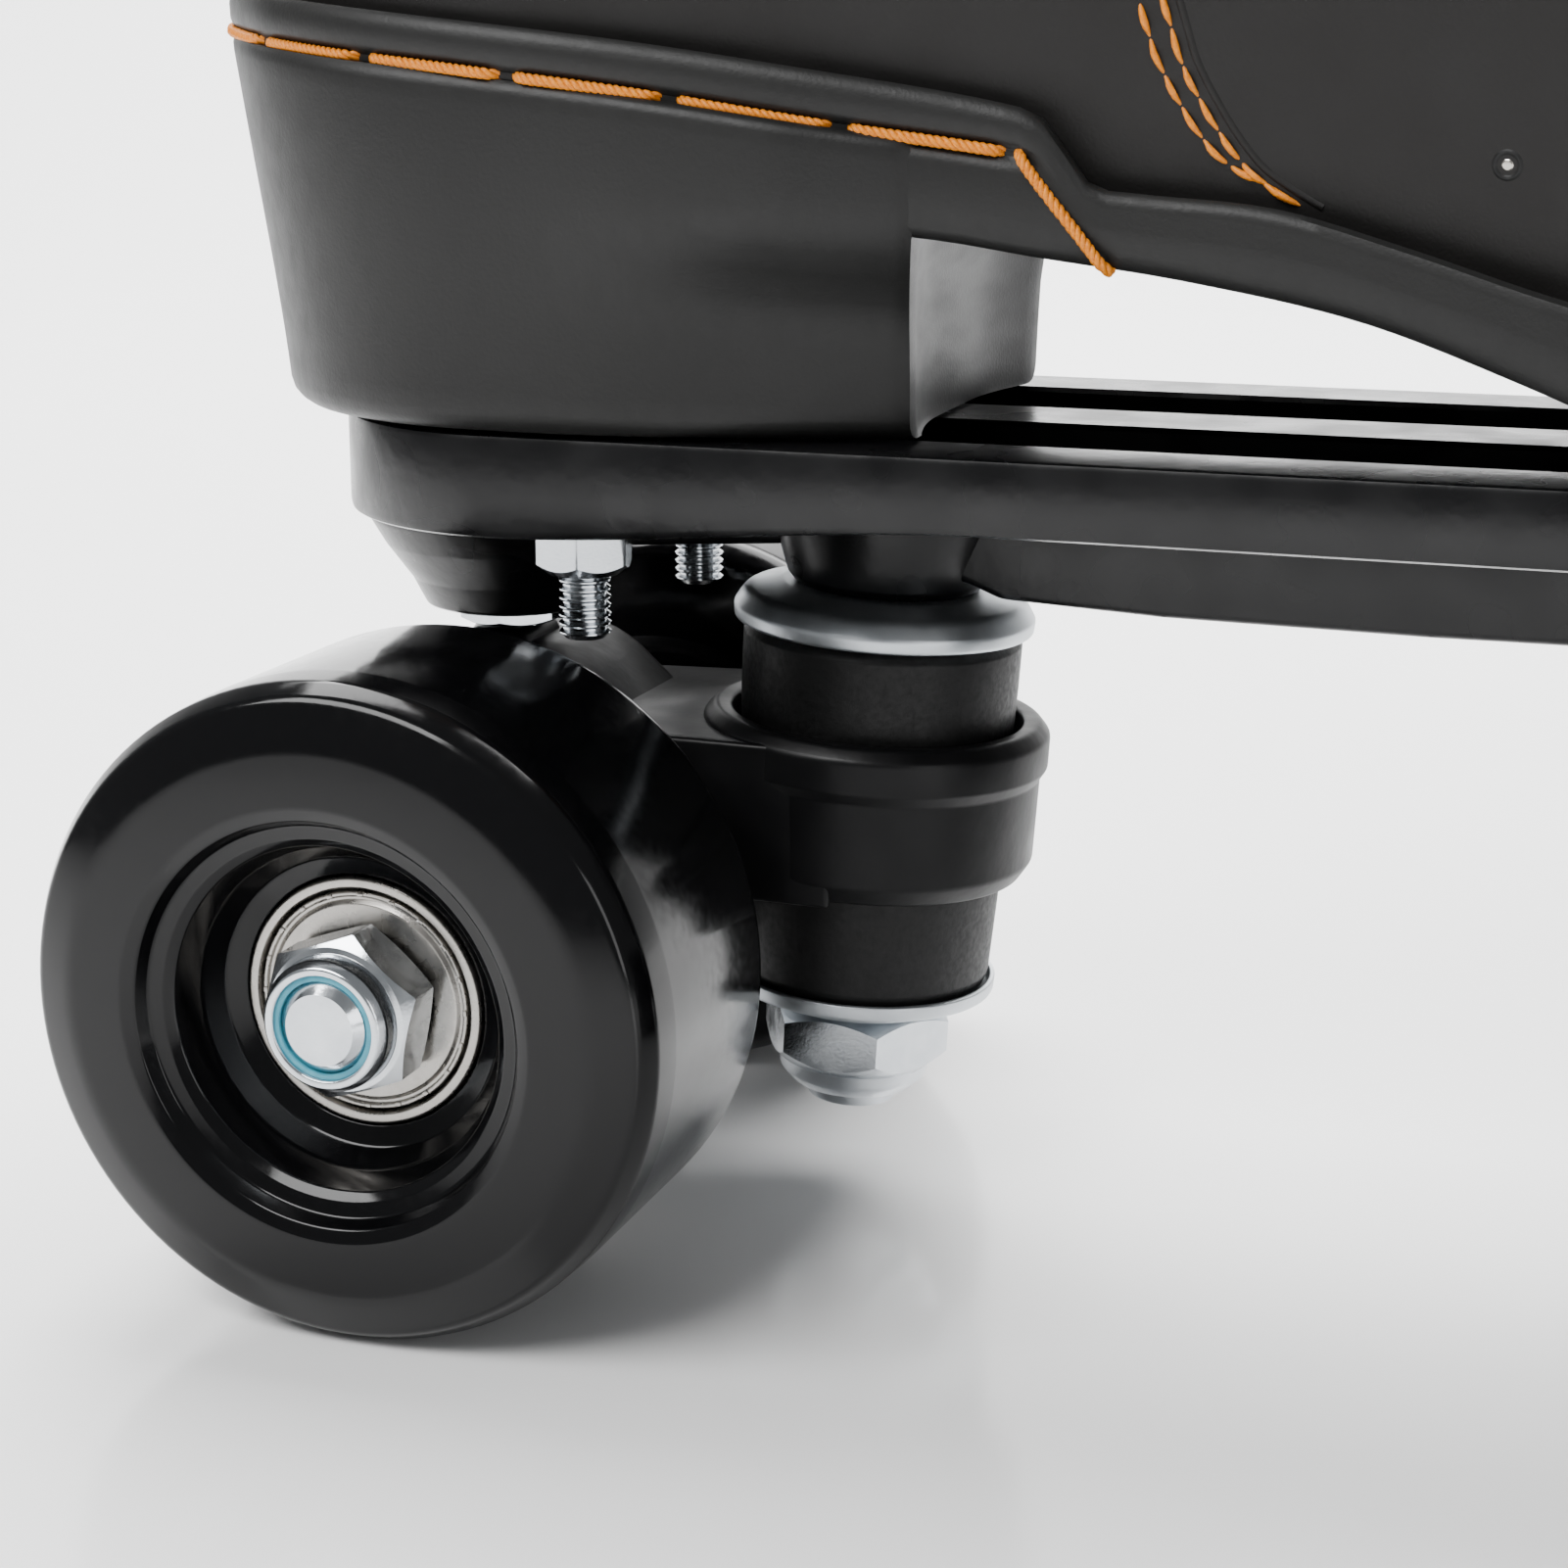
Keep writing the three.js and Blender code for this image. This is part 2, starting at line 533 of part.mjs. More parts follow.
// The lower edge stands just above the floor of the sole's tray, clear of its rim.
function seated(p) {
  const half = Math.max(along(soleWidth, p.x) - 3.2, 0);
  const y = THREE.MathUtils.clamp(p.y - swing(p.x), -half, half) + swing(p.x);
  return new THREE.Vector3(p.x, y, along(trayFloor, p.x) + 0.8);
}

function upperPoint(curves, u, v) {
  const knots = curves.map((curve) => curve.getPoint(u));
  knots[0] = seated(knots[0]);
  return new THREE.CatmullRomCurve3(knots, false, 'catmullrom', 0.5).getPoint(v);
}

function upperNormal(curves, u, v) {
  const e = 0.004;
  const du = upperPoint(curves, (u + e) % 1, v).sub(upperPoint(curves, (u + 1 - e) % 1, v));
  const v0 = Math.max(v - e, 0);
  const v1 = Math.min(v + e, 1);
  const dv = upperPoint(curves, u, v1).sub(upperPoint(curves, u, v0));
  return dv.cross(du).normalize();
}

function addUpper(skate) {
  const curves = ribCurves();
  const around = 36;
  const up = [0, 0.12, 0.25, 0.4, 0.55, 0.7, 0.85, 1];
  const loops = [];
  for (let i = 0; i < around; i += 1) {
    const u = i / around;
    const outside = up.map((v) => upperPoint(curves, u, v));
    const inward = (p, k) => p.clone().addScaledVector(upperNormal(curves, u, up[k]), -SHELL);
    loops.push([...outside, ...outside.map(inward).reverse()]);
  }
  named('boot_upper', skin(loops, true), 'leather', skate);
}

function addTongue(skate) {
  const centreline = [[60, 126.5], [44.5, 131], [27, 142.5], [5.6, 164], [-25.5, 199], [-49.5, 234],
    [-57, 252]].map(([x, z]) => new THREE.Vector3(x, 0, z));
  const path = new THREE.CatmullRomCurve3(centreline, false, 'catmullrom', 0.5);
  const steps = 14;
  const curl = 20;
  const thick = 4.6;
  const loops = [];
  for (let i = 0; i <= steps; i += 1) {
    const t = i / steps;
    const centre = path.getPoint(t);
    const tangent = path.getTangent(t);
    const normal = new THREE.Vector3(tangent.z, 0, -tangent.x).normalize();
    const half = THREE.MathUtils.lerp(15, 20.5, Math.min(t * 2, 1)) * (t > 0.97 ? 0.8 : 1);
    const at = (f, depth) => {
      const y = f * (half - depth * 0.15);
      const p = centre.clone().addScaledVector(normal, -(y * y) / (2 * curl) - depth);
      return p.setY(p.y + y + swing(centre.x));
    };
    const across = [-1, -0.6, -0.2, 0.2, 0.6, 1];
    loops.push([...across.map((f) => at(f, 0)), ...across.map((f) => at(-f, thick))]);
  }
  named('tongue', skin(loops), 'leather', skate);
}

function addCollarPadding(skate) {
  const curves = ribCurves();
  const reach = 0.3;
  const steps = 24;
  const r = 4.6;
  const loops = [];
  for (let i = 0; i <= steps; i += 1) {
    const u = (1 - reach / 2 + (i / steps) * reach + 1) % 1;
    const normal = upperNormal(curves, u, 0.955);
    const centre = upperPoint(curves, u, 0.955).addScaledVector(normal, -(SHELL + r + 1.2));
    const row = [];
    for (let k = 0; k < 8; k += 1) {
      const a = (k / 8) * 2 * Math.PI;
      const end = i === 0 || i === steps ? 0.55 : 1;
      const p = centre.clone().addScaledVector(normal, r * end * Math.cos(a));
      row.push(p.add(new THREE.Vector3(0, 0, r * end * 1.5 * Math.sin(a))));
    }
    loops.push(row);
  }
  named('collar_padding', skin(loops), 'lining', skate);
}

// ---- Toe stop ----
function addToeStop(skate) {
  const pad = turned([[0, -44], [15, -44], [20, -42], [TOE_STOP.padR, -36], [19, -24], [14, -22],
    [0, -22]], 28);
  named('toe_stop_pad', onToeStop(pad), 'rubber', skate);
  named('toe_stop_stem', onToeStop(rod(TOE_STOP.stemR, -22 + GAP, 9.5, 20)), 'zinc', skate);
  const lock = combine([hexRod(22, -10.5, -2.8)], [rod(TOE_STOP.stemR + 0.2, -14, 4, 20)]);
  named('toe_stop_lock_nut', onToeStop(lock), 'zinc', skate);
}

// ---- Assembly ----
const skate = new THREE.Group();
skate.name = 'quad_roller_skate';
addSole(skate);
addUpper(skate);
addTongue(skate);
addCollarPadding(skate);
addBaseplate(skate);
addMountingBolts(skate);
addTruck('rear', REAR_AXLE_X, 0, skate);
addTruck('front', FRONT_AXLE_X, Math.PI, skate);
addToeStop(skate);

export default skate;
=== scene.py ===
import math

import bmesh
import bpy
from mathutils import Matrix, Vector, noise
from mathutils.bvhtree import BVHTree


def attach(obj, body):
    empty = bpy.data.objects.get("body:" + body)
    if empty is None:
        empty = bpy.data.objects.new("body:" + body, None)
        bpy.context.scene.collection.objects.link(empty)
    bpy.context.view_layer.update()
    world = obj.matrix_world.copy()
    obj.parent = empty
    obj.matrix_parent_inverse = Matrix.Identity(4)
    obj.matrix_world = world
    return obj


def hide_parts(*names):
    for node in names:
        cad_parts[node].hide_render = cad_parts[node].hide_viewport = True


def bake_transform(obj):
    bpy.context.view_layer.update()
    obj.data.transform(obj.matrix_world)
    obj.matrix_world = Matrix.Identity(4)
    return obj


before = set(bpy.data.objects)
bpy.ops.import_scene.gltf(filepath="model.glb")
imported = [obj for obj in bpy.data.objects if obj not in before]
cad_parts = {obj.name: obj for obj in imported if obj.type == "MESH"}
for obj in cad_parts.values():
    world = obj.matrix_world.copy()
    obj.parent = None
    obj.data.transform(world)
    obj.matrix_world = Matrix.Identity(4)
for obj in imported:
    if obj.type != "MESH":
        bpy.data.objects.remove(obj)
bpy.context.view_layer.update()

mm = 0.001  # shapes below are written in millimetres
axleX = {"rear": -107.0, "front": 58.0}
axleZ = 29.0
turn = {"rear": 0.0, "front": math.pi}  # the front truck is the rear one turned half round


def linear(hexCode):
    values = [int(hexCode[i:i + 2], 16) / 255 for i in (1, 3, 5)]
    return tuple(v / 12.92 if v <= 0.04045 else ((v + 0.055) / 1.055) ** 2.4 for v in values) + (1.0,)


def addNode(tree, kind, settings=None, links=None):
    node = tree.nodes.new("ShaderNode" + kind)
    for key, value in (settings or {}).items():
        if isinstance(key, int) or key in node.inputs:
            node.inputs[key].default_value = value
        else:
            setattr(node, key, value)
    for key, source in (links or {}).items():
        tree.links.new(source, node.inputs[key])
    return node


def startMaterial(name):
    material = bpy.data.materials.new(name)
    material.use_nodes = True
    tree = material.node_tree
    tree.nodes.clear()
    return material, tree, addNode(tree, "TexCoord").outputs["Object"]


def finishMaterial(tree, shader):
    addNode(tree, "OutputMaterial", links={"Surface": shader.outputs["BSDF"]})


def perMetre(size):  # texture scale for a pattern whose features are size millimetres apart
    return 1000 / size


def castUrethane():
    look = {"colour": "#060607", "roughness": 0.1, "ripple": 7.0, "dust": 0.9}
    material, tree, place = startMaterial("castUrethane")  # cast polyurethane tyre: wet gloss, faint ripple
    ripple = addNode(tree, "TexNoise", {"Scale": perMetre(look["ripple"]), "Detail": 1.0}, {"Vector": place})
    dust = addNode(tree, "TexNoise", {"Scale": perMetre(look["dust"]), "Detail": 3.0}, {"Vector": place})
    rough = addNode(tree, "MapRange", {1: 0.35, 2: 0.75, 3: look["roughness"], 4: look["roughness"] + 0.07},
                    {"Value": dust.outputs["Fac"]})
    bump = addNode(tree, "Bump", {"Strength": 0.06, "Distance": 0.0006}, {"Height": ripple.outputs["Fac"]})
    shader = addNode(tree, "BsdfPrincipled", {"Base Color": linear(look["colour"]), "IOR": 1.5,
                                              "Specular IOR Level": 0.26},
                     {"Roughness": rough.outputs["Result"], "Normal": bump.outputs["Normal"]})
    finishMaterial(tree, shader)
    return material


def mouldedSole():
    look = {"colour": "#161616", "light": "#1c1c1b", "roughness": 0.44, "grain": 0.35, "cloud": 28.0,
            "marks": 1.3}
    material, tree, place = startMaterial("mouldedRubberSole")  # moulded rubber, buffed: soft satin, fine pores
    cloud = addNode(tree, "TexNoise", {"Scale": perMetre(look["cloud"]), "Detail": 2.0}, {"Vector": place})
    colour = addNode(tree, "Mix", {"data_type": "RGBA", 6: linear(look["colour"]), 7: linear(look["light"])},
                     {0: cloud.outputs["Fac"]})
    grain = addNode(tree, "TexNoise", {"Scale": perMetre(look["grain"]), "Detail": 3.0}, {"Vector": place})
    drawn = addNode(tree, "Mapping", {"Scale": (1.0, 0.12, 0.5), "Rotation": (0.5, 0.2, 0.3)},
                    {"Vector": place})
    marks = addNode(tree, "TexNoise", {"Scale": perMetre(look["marks"]), "Detail": 4.0},
                    {"Vector": drawn.outputs["Vector"]})
    rough = addNode(tree, "MapRange", {1: 0.4, 2: 0.8, 3: look["roughness"], 4: look["roughness"] + 0.07},
                    {"Value": marks.outputs["Fac"]})
    bump = addNode(tree, "Bump", {"Strength": 0.12, "Distance": 0.00025}, {"Height": grain.outputs["Fac"]})
    shader = addNode(tree, "BsdfPrincipled", {"IOR": 1.5, "Specular IOR Level": 0.24},
                     {"Base Color": colour.outputs[2], "Roughness": rough.outputs["Result"],
                      "Normal": bump.outputs["Normal"]})
    finishMaterial(tree, shader)
    return material


def smoothLeather():
    look = {"colour": "#0c0b0a", "light": "#131110", "roughness": 0.5, "pore": 0.55, "crease": 9.0}
    material, tree, place = startMaterial("smoothBlackLeather")  # coated leather: matte film, pebbled grain
    cells = addNode(tree, "TexVoronoi", {"Scale": perMetre(look["pore"]), "feature": "DISTANCE_TO_EDGE"},
                    {"Vector": place})
    crease = addNode(tree, "TexNoise", {"Scale": perMetre(look["crease"]), "Detail": 4.0}, {"Vector": place})
    colour = addNode(tree, "Mix", {"data_type": "RGBA", 6: linear(look["colour"]), 7: linear(look["light"])},
                     {0: crease.outputs["Fac"]})
    height = addNode(tree, "Math", {"operation": "MULTIPLY_ADD", 1: 0.5},
                     {0: cells.outputs["Distance"], 2: crease.outputs["Fac"]})
    rough = addNode(tree, "MapRange", {1: 0.3, 2: 0.7, 3: look["roughness"], 4: look["roughness"] + 0.12},
                    {"Value": crease.outputs["Fac"]})
    bump = addNode(tree, "Bump", {"Strength": 0.14, "Distance": 0.0003}, {"Height": height.outputs["Value"]})
    shader = addNode(tree, "BsdfPrincipled", {"IOR": 1.48, "Specular IOR Level": 0.3},
                     {"Base Color": colour.outputs[2], "Roughness": rough.outputs["Result"],
                      "Normal": bump.outputs["Normal"]})
    finishMaterial(tree, shader)
    return material


def wovenLining():
    look = {"colour": "#161617", "light": "#2a2a2b", "thread": 0.9}
    material, tree, place = startMaterial("wovenLining")  # plain-weave polyester: dull, crossed threads
    waves = []
    for direction in ("X", "Z"):  # one wave covers two threads, one over and one under
        wave = addNode(tree, "TexWave", {"bands_direction": direction, "Scale": perMetre(look["thread"]) / 6.28,
                                         "Distortion": 0.3}, {"Vector": place})
        waves.append(wave.outputs["Fac"])
    weave = addNode(tree, "Math", {"operation": "MULTIPLY"}, {0: waves[0], 1: waves[1]})
    colour = addNode(tree, "Mix", {"data_type": "RGBA", 6: linear(look["colour"]), 7: linear(look["light"])},
                     {0: weave.outputs["Value"]})
    bump = addNode(tree, "Bump", {"Strength": 0.5, "Distance": 0.0003},
                   {"Height": weave.outputs["Value"]})
    shader = addNode(tree, "BsdfPrincipled", {"Roughness": 0.88, "Sheen Weight": 0.25, "Sheen Roughness": 0.5},
                     {"Base Color": colour.outputs[2], "Normal": bump.outputs["Normal"]})
    finishMaterial(tree, shader)
    return material


def enamelledCasting(name, roughness, shine):
    look = {"colour": "#070708", "peel": 1.6, "cast": 6.0}
    material, tree, place = startMaterial(name)
    peel = addNode(tree, "TexNoise", {"Scale": perMetre(look["peel"]), "Detail": 2.0}, {"Vector": place})
    cast = addNode(tree, "TexNoise", {"Scale": perMetre(look["cast"]), "Detail": 1.0}, {"Vector": place})
    height = addNode(tree, "Math", {"operation": "MULTIPLY_ADD", 1: 2.5},
                     {0: cast.outputs["Fac"], 2: peel.outputs["Fac"]})
    rough = addNode(tree, "MapRange", {1: 0.3, 2: 0.7, 3: roughness, 4: roughness + 0.12},
                    {"Value": cast.outputs["Fac"]})
    bump = addNode(tree, "Bump", {"Strength": 0.12, "Distance": 0.0003}, {"Height": height.outputs["Value"]})
    shader = addNode(tree, "BsdfPrincipled", {"Base Color": linear(look["colour"]), "IOR": 1.5,
                                              "Specular IOR Level": shine},
                     {"Roughness": rough.outputs["Result"], "Normal": bump.outputs["Normal"]})
    finishMaterial(tree, shader)
    return material


def cushionUrethane():
    look = {"colour": "#070707", "roughness": 0.46, "grain": 0.6}
    material, tree, place = startMaterial("mouldedCushion")  # moulded hard rubber: dull satin, fine grain
    grain = addNode(tree, "TexNoise", {"Scale": perMetre(look["grain"]), "Detail": 3.0}, {"Vector": place})
    rough = addNode(tree, "MapRange", {1: 0.35, 2: 0.7, 3: look["roughness"], 4: look["roughness"] + 0.15},
                    {"Value": grain.outputs["Fac"]})
    bump = addNode(tree, "Bump", {"Strength": 0.15, "Distance": 0.0002}, {"Height": grain.outputs["Fac"]})
    shader = addNode(tree, "BsdfPrincipled", {"Base Color": linear(look["colour"]), "Specular IOR Level": 0.3},
                     {"Roughness": rough.outputs["Result"], "Normal": bump.outputs["Normal"]})
    finishMaterial(tree, shader)
    return material


def plated(name, look):
    material, tree, place = startMaterial(name)
    cloud = addNode(tree, "TexNoise", {"Scale": perMetre(look["cloud"]), "Detail": 3.0}, {"Vector": place})
    colour = addNode(tree, "Mix", {"data_type": "RGBA", 6: linear(look["colour"]), 7: linear(look["light"])},
                     {0: cloud.outputs["Fac"]})
    rough = addNode(tree, "MapRange",
                    {1: 0.3, 2: 0.75, 3: look["roughness"], 4: look["roughness"] + look["spread"]},
                    {"Value": cloud.outputs["Fac"]})
    fine = addNode(tree, "TexNoise", {"Scale": perMetre(look["grain"]), "Detail": 2.0}, {"Vector": place})
    bump = addNode(tree, "Bump", {"Strength": 0.08, "Distance": 0.0001}, {"Height": fine.outputs["Fac"]})
    shader = addNode(tree, "BsdfPrincipled", {"Metallic": 1.0},
                     {"Base Color": colour.outputs[2], "Roughness": rough.outputs["Result"],
                      "Normal": bump.outputs["Normal"]})
    finishMaterial(tree, shader)
    return material


def nylonInsert():
    look = {"colour": "#1b6f86", "light": "#4fa6b8", "roughness": 0.35, "cloud": 1.5}
    material, tree, place = startMaterial("dyedNylonRing")  # moulded nylon ring: waxy, slightly clear
    cloud = addNode(tree, "TexNoise", {"Scale": perMetre(look["cloud"]), "Detail": 2.0}, {"Vector": place})
    colour = addNode(tree, "Mix", {"data_type": "RGBA", 6: linear(look["colour"]), 7: linear(look["light"])},
                     {0: cloud.outputs["Fac"]})
    shader = addNode(tree, "BsdfPrincipled", {"Roughness": look["roughness"], "Subsurface Weight": 0.1,
                                              "Subsurface Scale": 0.001}, {"Base Color": colour.outputs[2]})
    finishMaterial(tree, shader)
    return material


def waxedThread():
    look = {"colour": "#a84d00", "light": "#e8920f", "fibre": 0.25}
    material, tree, place = startMaterial("waxedThread")  # waxed polyester thread: soft shine, fine fibres
    fibre = addNode(tree, "TexNoise", {"Scale": perMetre(look["fibre"]), "Detail": 2.0}, {"Vector": place})
    colour = addNode(tree, "Mix", {"data_type": "RGBA", 6: linear(look["colour"]), 7: linear(look["light"])},
                     {0: fibre.outputs["Fac"]})
    bump = addNode(tree, "Bump", {"Strength": 0.3, "Distance": 0.0001}, {"Height": fibre.outputs["Fac"]})
    shader = addNode(tree, "BsdfPrincipled", {"Roughness": 0.48, "Specular IOR Level": 0.4},
                     {"Base Color": colour.outputs[2], "Normal": bump.outputs["Normal"]})
    finishMaterial(tree, shader)
    return material


urethane = castUrethane()
soleRubber = mouldedSole()
leather = smoothLeather()
lining = wovenLining()
# die-cast alloy in black enamel: gloss with faint orange peel
enamel = enamelledCasting("glossEnamelledCasting", 0.23, 0.32)
# the same enamel left satin: an even black with little reflection
satinEnamel = enamelledCasting("satinEnamelledCasting", 0.36, 0.2)
cushionRubber = cushionUrethane()
# zinc plate on pressed steel: bright, cool, slightly cloudy
zinc = plated("brightZincPlate", {"colour": "#b4b9bf", "light": "#dfe3e6", "roughness": 0.12, "spread": 0.12,
                                  "cloud": 2.5, "grain": 0.3})
# duller zinc on stamped washers: soft grey
dullZinc = plated("stampedZincPlate", {"colour": "#b4babf", "light": "#d6dadd", "roughness": 0.36,
                                       "spread": 0.12, "cloud": 3.5, "grain": 0.4})
# ground bearing steel: warm grey with fine grinding; the darker base grey is partly painted shade, dimming the
# whole bearing where it sits in the wheel's recess
groundSteel = plated("groundBearingSteel", {"colour": "#8b8884", "light": "#bdb9b3", "roughness": 0.22,
                                            "spread": 0.14, "cloud": 1.8, "grain": 0.2})
# nickel plate on brass eyelets: warm silver
nickel = plated("nickelPlate", {"colour": "#9c9892", "light": "#cbc7bf", "roughness": 0.22, "spread": 0.1,
                                "cloud": 2.0, "grain": 0.3})
nylon = nylonInsert()
thread = waxedThread()
print("materials made")


def filleted(points, closed=False, steps=4):  # rounds each [r, z, radius] corner
    line = []
    for i, point in enumerate(points):
        here = Vector(point[:2])
        radius = point[2] if len(point) > 2 else 0
        if not radius or (not closed and i in (0, len(points) - 1)):
            line.append(here)
            continue
        before = Vector(points[i - 1][:2]) - here
        after = Vector(points[(i + 1) % len(points)][:2]) - here
        reach = min(radius / math.tan(before.angle(after) / 2), 0.49 * before.length, 0.49 * after.length)
        start = here + before.normalized() * reach
        end = here + after.normalized() * reach
        for k in range(steps + 1):
            t = k / steps
            line.append(start.lerp(here, t).lerp(here.lerp(end, t), t))
    return line


def merge(bm, part, place=None, paint=0):
    bmesh.ops.remove_doubles(part, verts=part.verts, dist=1e-6)
    bmesh.ops.recalc_face_normals(part, faces=part.faces)
    if place is not None:
        bmesh.ops.transform(part, matrix=place, verts=part.verts)
        if place.determinant() < 0:
            bmesh.ops.reverse_faces(part, faces=part.faces)
    for face in part.faces:
        face.material_index = paint
    carrier = bpy.data.meshes.new("carrier")
    part.to_mesh(carrier)
    part.free()
    bm.from_mesh(carrier)
    bpy.data.meshes.remove(carrier)


def spun(points, closed=False, steps=96):  # a turned part about Z
    part = bmesh.new()
    line = [part.verts.new((p.x * mm, 0, p.y * mm)) for p in filleted(points, closed)]
    pairs = list(zip(line, line[1:])) + ([(line[-1], line[0])] if closed else [])
    edges = [part.edges.new(pair) for pair in pairs]
    bmesh.ops.spin(part, geom=line + edges, cent=(0, 0, 0), axis=(0, 0, 1), dvec=(0, 0, 0), angle=2 * math.pi,
                   steps=steps, use_merge=True, use_duplicate=False)
    bmesh.ops.remove_doubles(part, verts=part.verts, dist=1e-6)
    return part


def cutFlats(part, across, twist=0.0):  # mills a hexagon on a turned blank
    for k in range(6):
        angle = twist + 2 * math.pi * k / 6
        normal = Vector((math.cos(angle), math.sin(angle), 0))
        geom = part.verts[:] + part.edges[:] + part.faces[:]
        cut = bmesh.ops.bisect_plane(part, geom=geom, dist=1e-7, plane_co=normal * across / 2 * mm,
                                     plane_no=normal, clear_outer=True, clear_inner=False)
        rim = [e for e in cut["geom_cut"] if isinstance(e, bmesh.types.BMEdge)]
        bmesh.ops.edgeloop_fill(part, edges=rim)
    return part


def prism(outline, half, bevel, segments):  # [x, z] outline pushed out along Y, half to each side
    part = bmesh.new()
    rim = [part.verts.new((x * mm, -half * mm, z * mm)) for x, z in outline]
    face = part.faces.new(rim)
    pushed = bmesh.ops.extrude_face_region(part, geom=[face])
    moved = [g for g in pushed["geom"] if isinstance(g, bmesh.types.BMVert)]
    bmesh.ops.translate(part, verts=moved, vec=(0, 2 * half * mm, 0))
    bmesh.ops.recalc_face_normals(part, faces=part.faces)
    bmesh.ops.bevel(part, geom=part.edges[:], offset=bevel * mm, offset_type="OFFSET", affect="EDGES",
                    segments=segments, profile=0.5, material=-1, clamp_overlap=True)
    return part


def skinRows(bm, rows, rowsClosed=False, capEnds=False):  # a skin over closed rows of points in mm
    grid = [[bm.verts.new(p * mm) for p in row] for row in rows]
    count = len(rows[0])
    last = len(rows) if rowsClosed else len(rows) - 1
    for i in range(last):
        ahead = grid[(i + 1) % len(rows)]
        for k in range(count):
            n = (k + 1) % count
            bm.faces.new((grid[i][k], grid[i][n], ahead[n], ahead[k]))
    if capEnds:
        bm.faces.new(grid[0][::-1])
        bm.faces.new(grid[-1])


def sweep(bm, points, radius, sides):  # a tube in mm; radius may be a list
    radii = radius if isinstance(radius, list) else [radius] * len(points)
    side = Vector((0, 0, 1))
    rows = []
    for i, point in enumerate(points):
        ahead = points[min(i + 1, len(points) - 1)] - points[max(i - 1, 0)]
        ahead.normalize()
        side = side - ahead * side.dot(ahead)
        if side.length < 1e-4:
            side = ahead.orthogonal()
        side.normalize()
        other = ahead.cross(side)
        rows.append([point + (side * math.cos(a) + other * math.sin(a)) * radii[i]
                     for a in (2 * math.pi * k / sides for k in range(sides))])
    skinRows(bm, rows, capEnds=True)


def makePiece(name, bm, materials, body, replaces=(), sharp=38):  # body None: left without a body; the caller bakes its placement
    bmesh.ops.recalc_face_normals(bm, faces=bm.faces)
    mesh = bpy.data.meshes.new(name)
    bm.to_mesh(mesh)
    bm.free()
    mesh.shade_smooth()
    mesh.set_sharp_from_angle(angle=math.radians(sharp))
    for material in (materials if isinstance(materials, (list, tuple)) else [materials]):
        mesh.materials.append(material)
    piece = bpy.data.objects.new(name, mesh)
    bpy.context.scene.collection.objects.link(piece)
    if body:
        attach(piece, body)
    if replaces:
        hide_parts(*replaces)
    return piece


def atTruck(end):  # truck-local millimetres to the frame: kingpin toward +X, axle centre at the origin
    return Matrix.Translation((axleX[end] * mm, 0, axleZ * mm)) @ Matrix.Rotation(turn[end], 4, "Z")


def onKingpin(end):
    tilt = Matrix.Rotation(math.radians(kingpin["lean"]), 4, "Y")
    return atTruck(end) @ Matrix.Translation((kingpin["x"] * mm, 0, kingpin["z"] * mm)) @ tilt


def smooth(a, b, x):
    t = min(max((x - a) / (b - a), 0.0), 1.0)
    return t * t * (3 - 2 * t)


def along(knots, x):  # smooth value through [x, value] knots
    if x <= knots[0][0]:
        return knots[0][1]
    for i in range(1, len(knots)):
        (x0, v0), (x1, v1) = knots[i - 1], knots[i]
        if x > x1:
            continue
        t = (x - x0) / (x1 - x0)
        before, after = knots[max(i - 2, 0)], knots[min(i + 1, len(knots) - 1)]
        m0 = (v1 - before[1]) / (x1 - before[0]) * (x1 - x0)
        m1 = (after[1] - v0) / (after[0] - x0) * (x1 - x0)
        return v0 + (v1 - v0) * t * t * (3 - 2 * t) + t * (1 - t) * ((1 - t) * m0 - t * m1)
    return knots[-1][1]


def threadProfile(radius, start, end, pitch, depth):  # a screw thread drawn as close rings
    points = []
    count = int((end - start) / pitch)
    for k in range(count):
        z = start + k * pitch
        points += [(radius - depth, z + 0.1 * pitch), (radius, z + 0.42 * pitch), (radius, z + 0.58 * pitch),
                   (radius - depth, z + 0.9 * pitch)]
    return points


wheel = {"radius": 29.0, "width": 32.0, "outY": 54.0, "recess": 8.0, "steps": 128}


def wheelPlace(end, side):  # profile z = 0 is the outer face, growing inward
    outward = 1 if side == "left" else -1
    shift = Matrix.Translation((axleX[end] * mm, outward * wheel["outY"] * mm, axleZ * mm))
    return shift @ Matrix.Rotation(outward * math.pi / 2, 4, "X")


def makeWheel(end, side):
    body = f"{end}_{side}_wheel_set"
    place = wheelPlace(end, side)
    bm = bmesh.new()
    tread, back = wheel["radius"], wheel["width"]
    rim = [(9.5, 15.4, 0.2), (11.15, 15.4), (11.15, wheel["recess"] + 0.3, 0.3), (12.9, 7.6, 0.9),
           (14.3, 5.8, 1.3), (15.1, 2.7, 0.5), (15.9, 2.05, 0.5), (17.1, 1.75, 0.5), (17.75, 0.5, 0.45),
           (18.9, 0.05, 0.9), (24.0, 0.35, 6.0), (tread - 1.25, 1.7, 1.5), (tread - 0.15, 3.6, 1.3),
           (tread, 7.0, 1.0), (tread, back - 4.5, 3.0), (tread - 1.8, back - 1.3, 2.4), (18.5, back, 1.0),
           (17.2, back - 0.6, 0.5), (16.6, back - 1, 0.5), (13.6, back - 1, 0.6), (11.15, back - 1.4, 0.4),
           (11.15, 23.6), (9.5, 23.6, 0.2)]
    merge(bm, spun(rim, True, wheel["steps"]), place)
    makePiece(f"{end}{side.title()}Wheel", bm, urethane, body, [f"{end}_{side}_wheel"])


bearing = {"innerStart": 24.0, "tabs": 20, "tab": (0.36, 0.55, 0.3), "tabAt": 9.42}


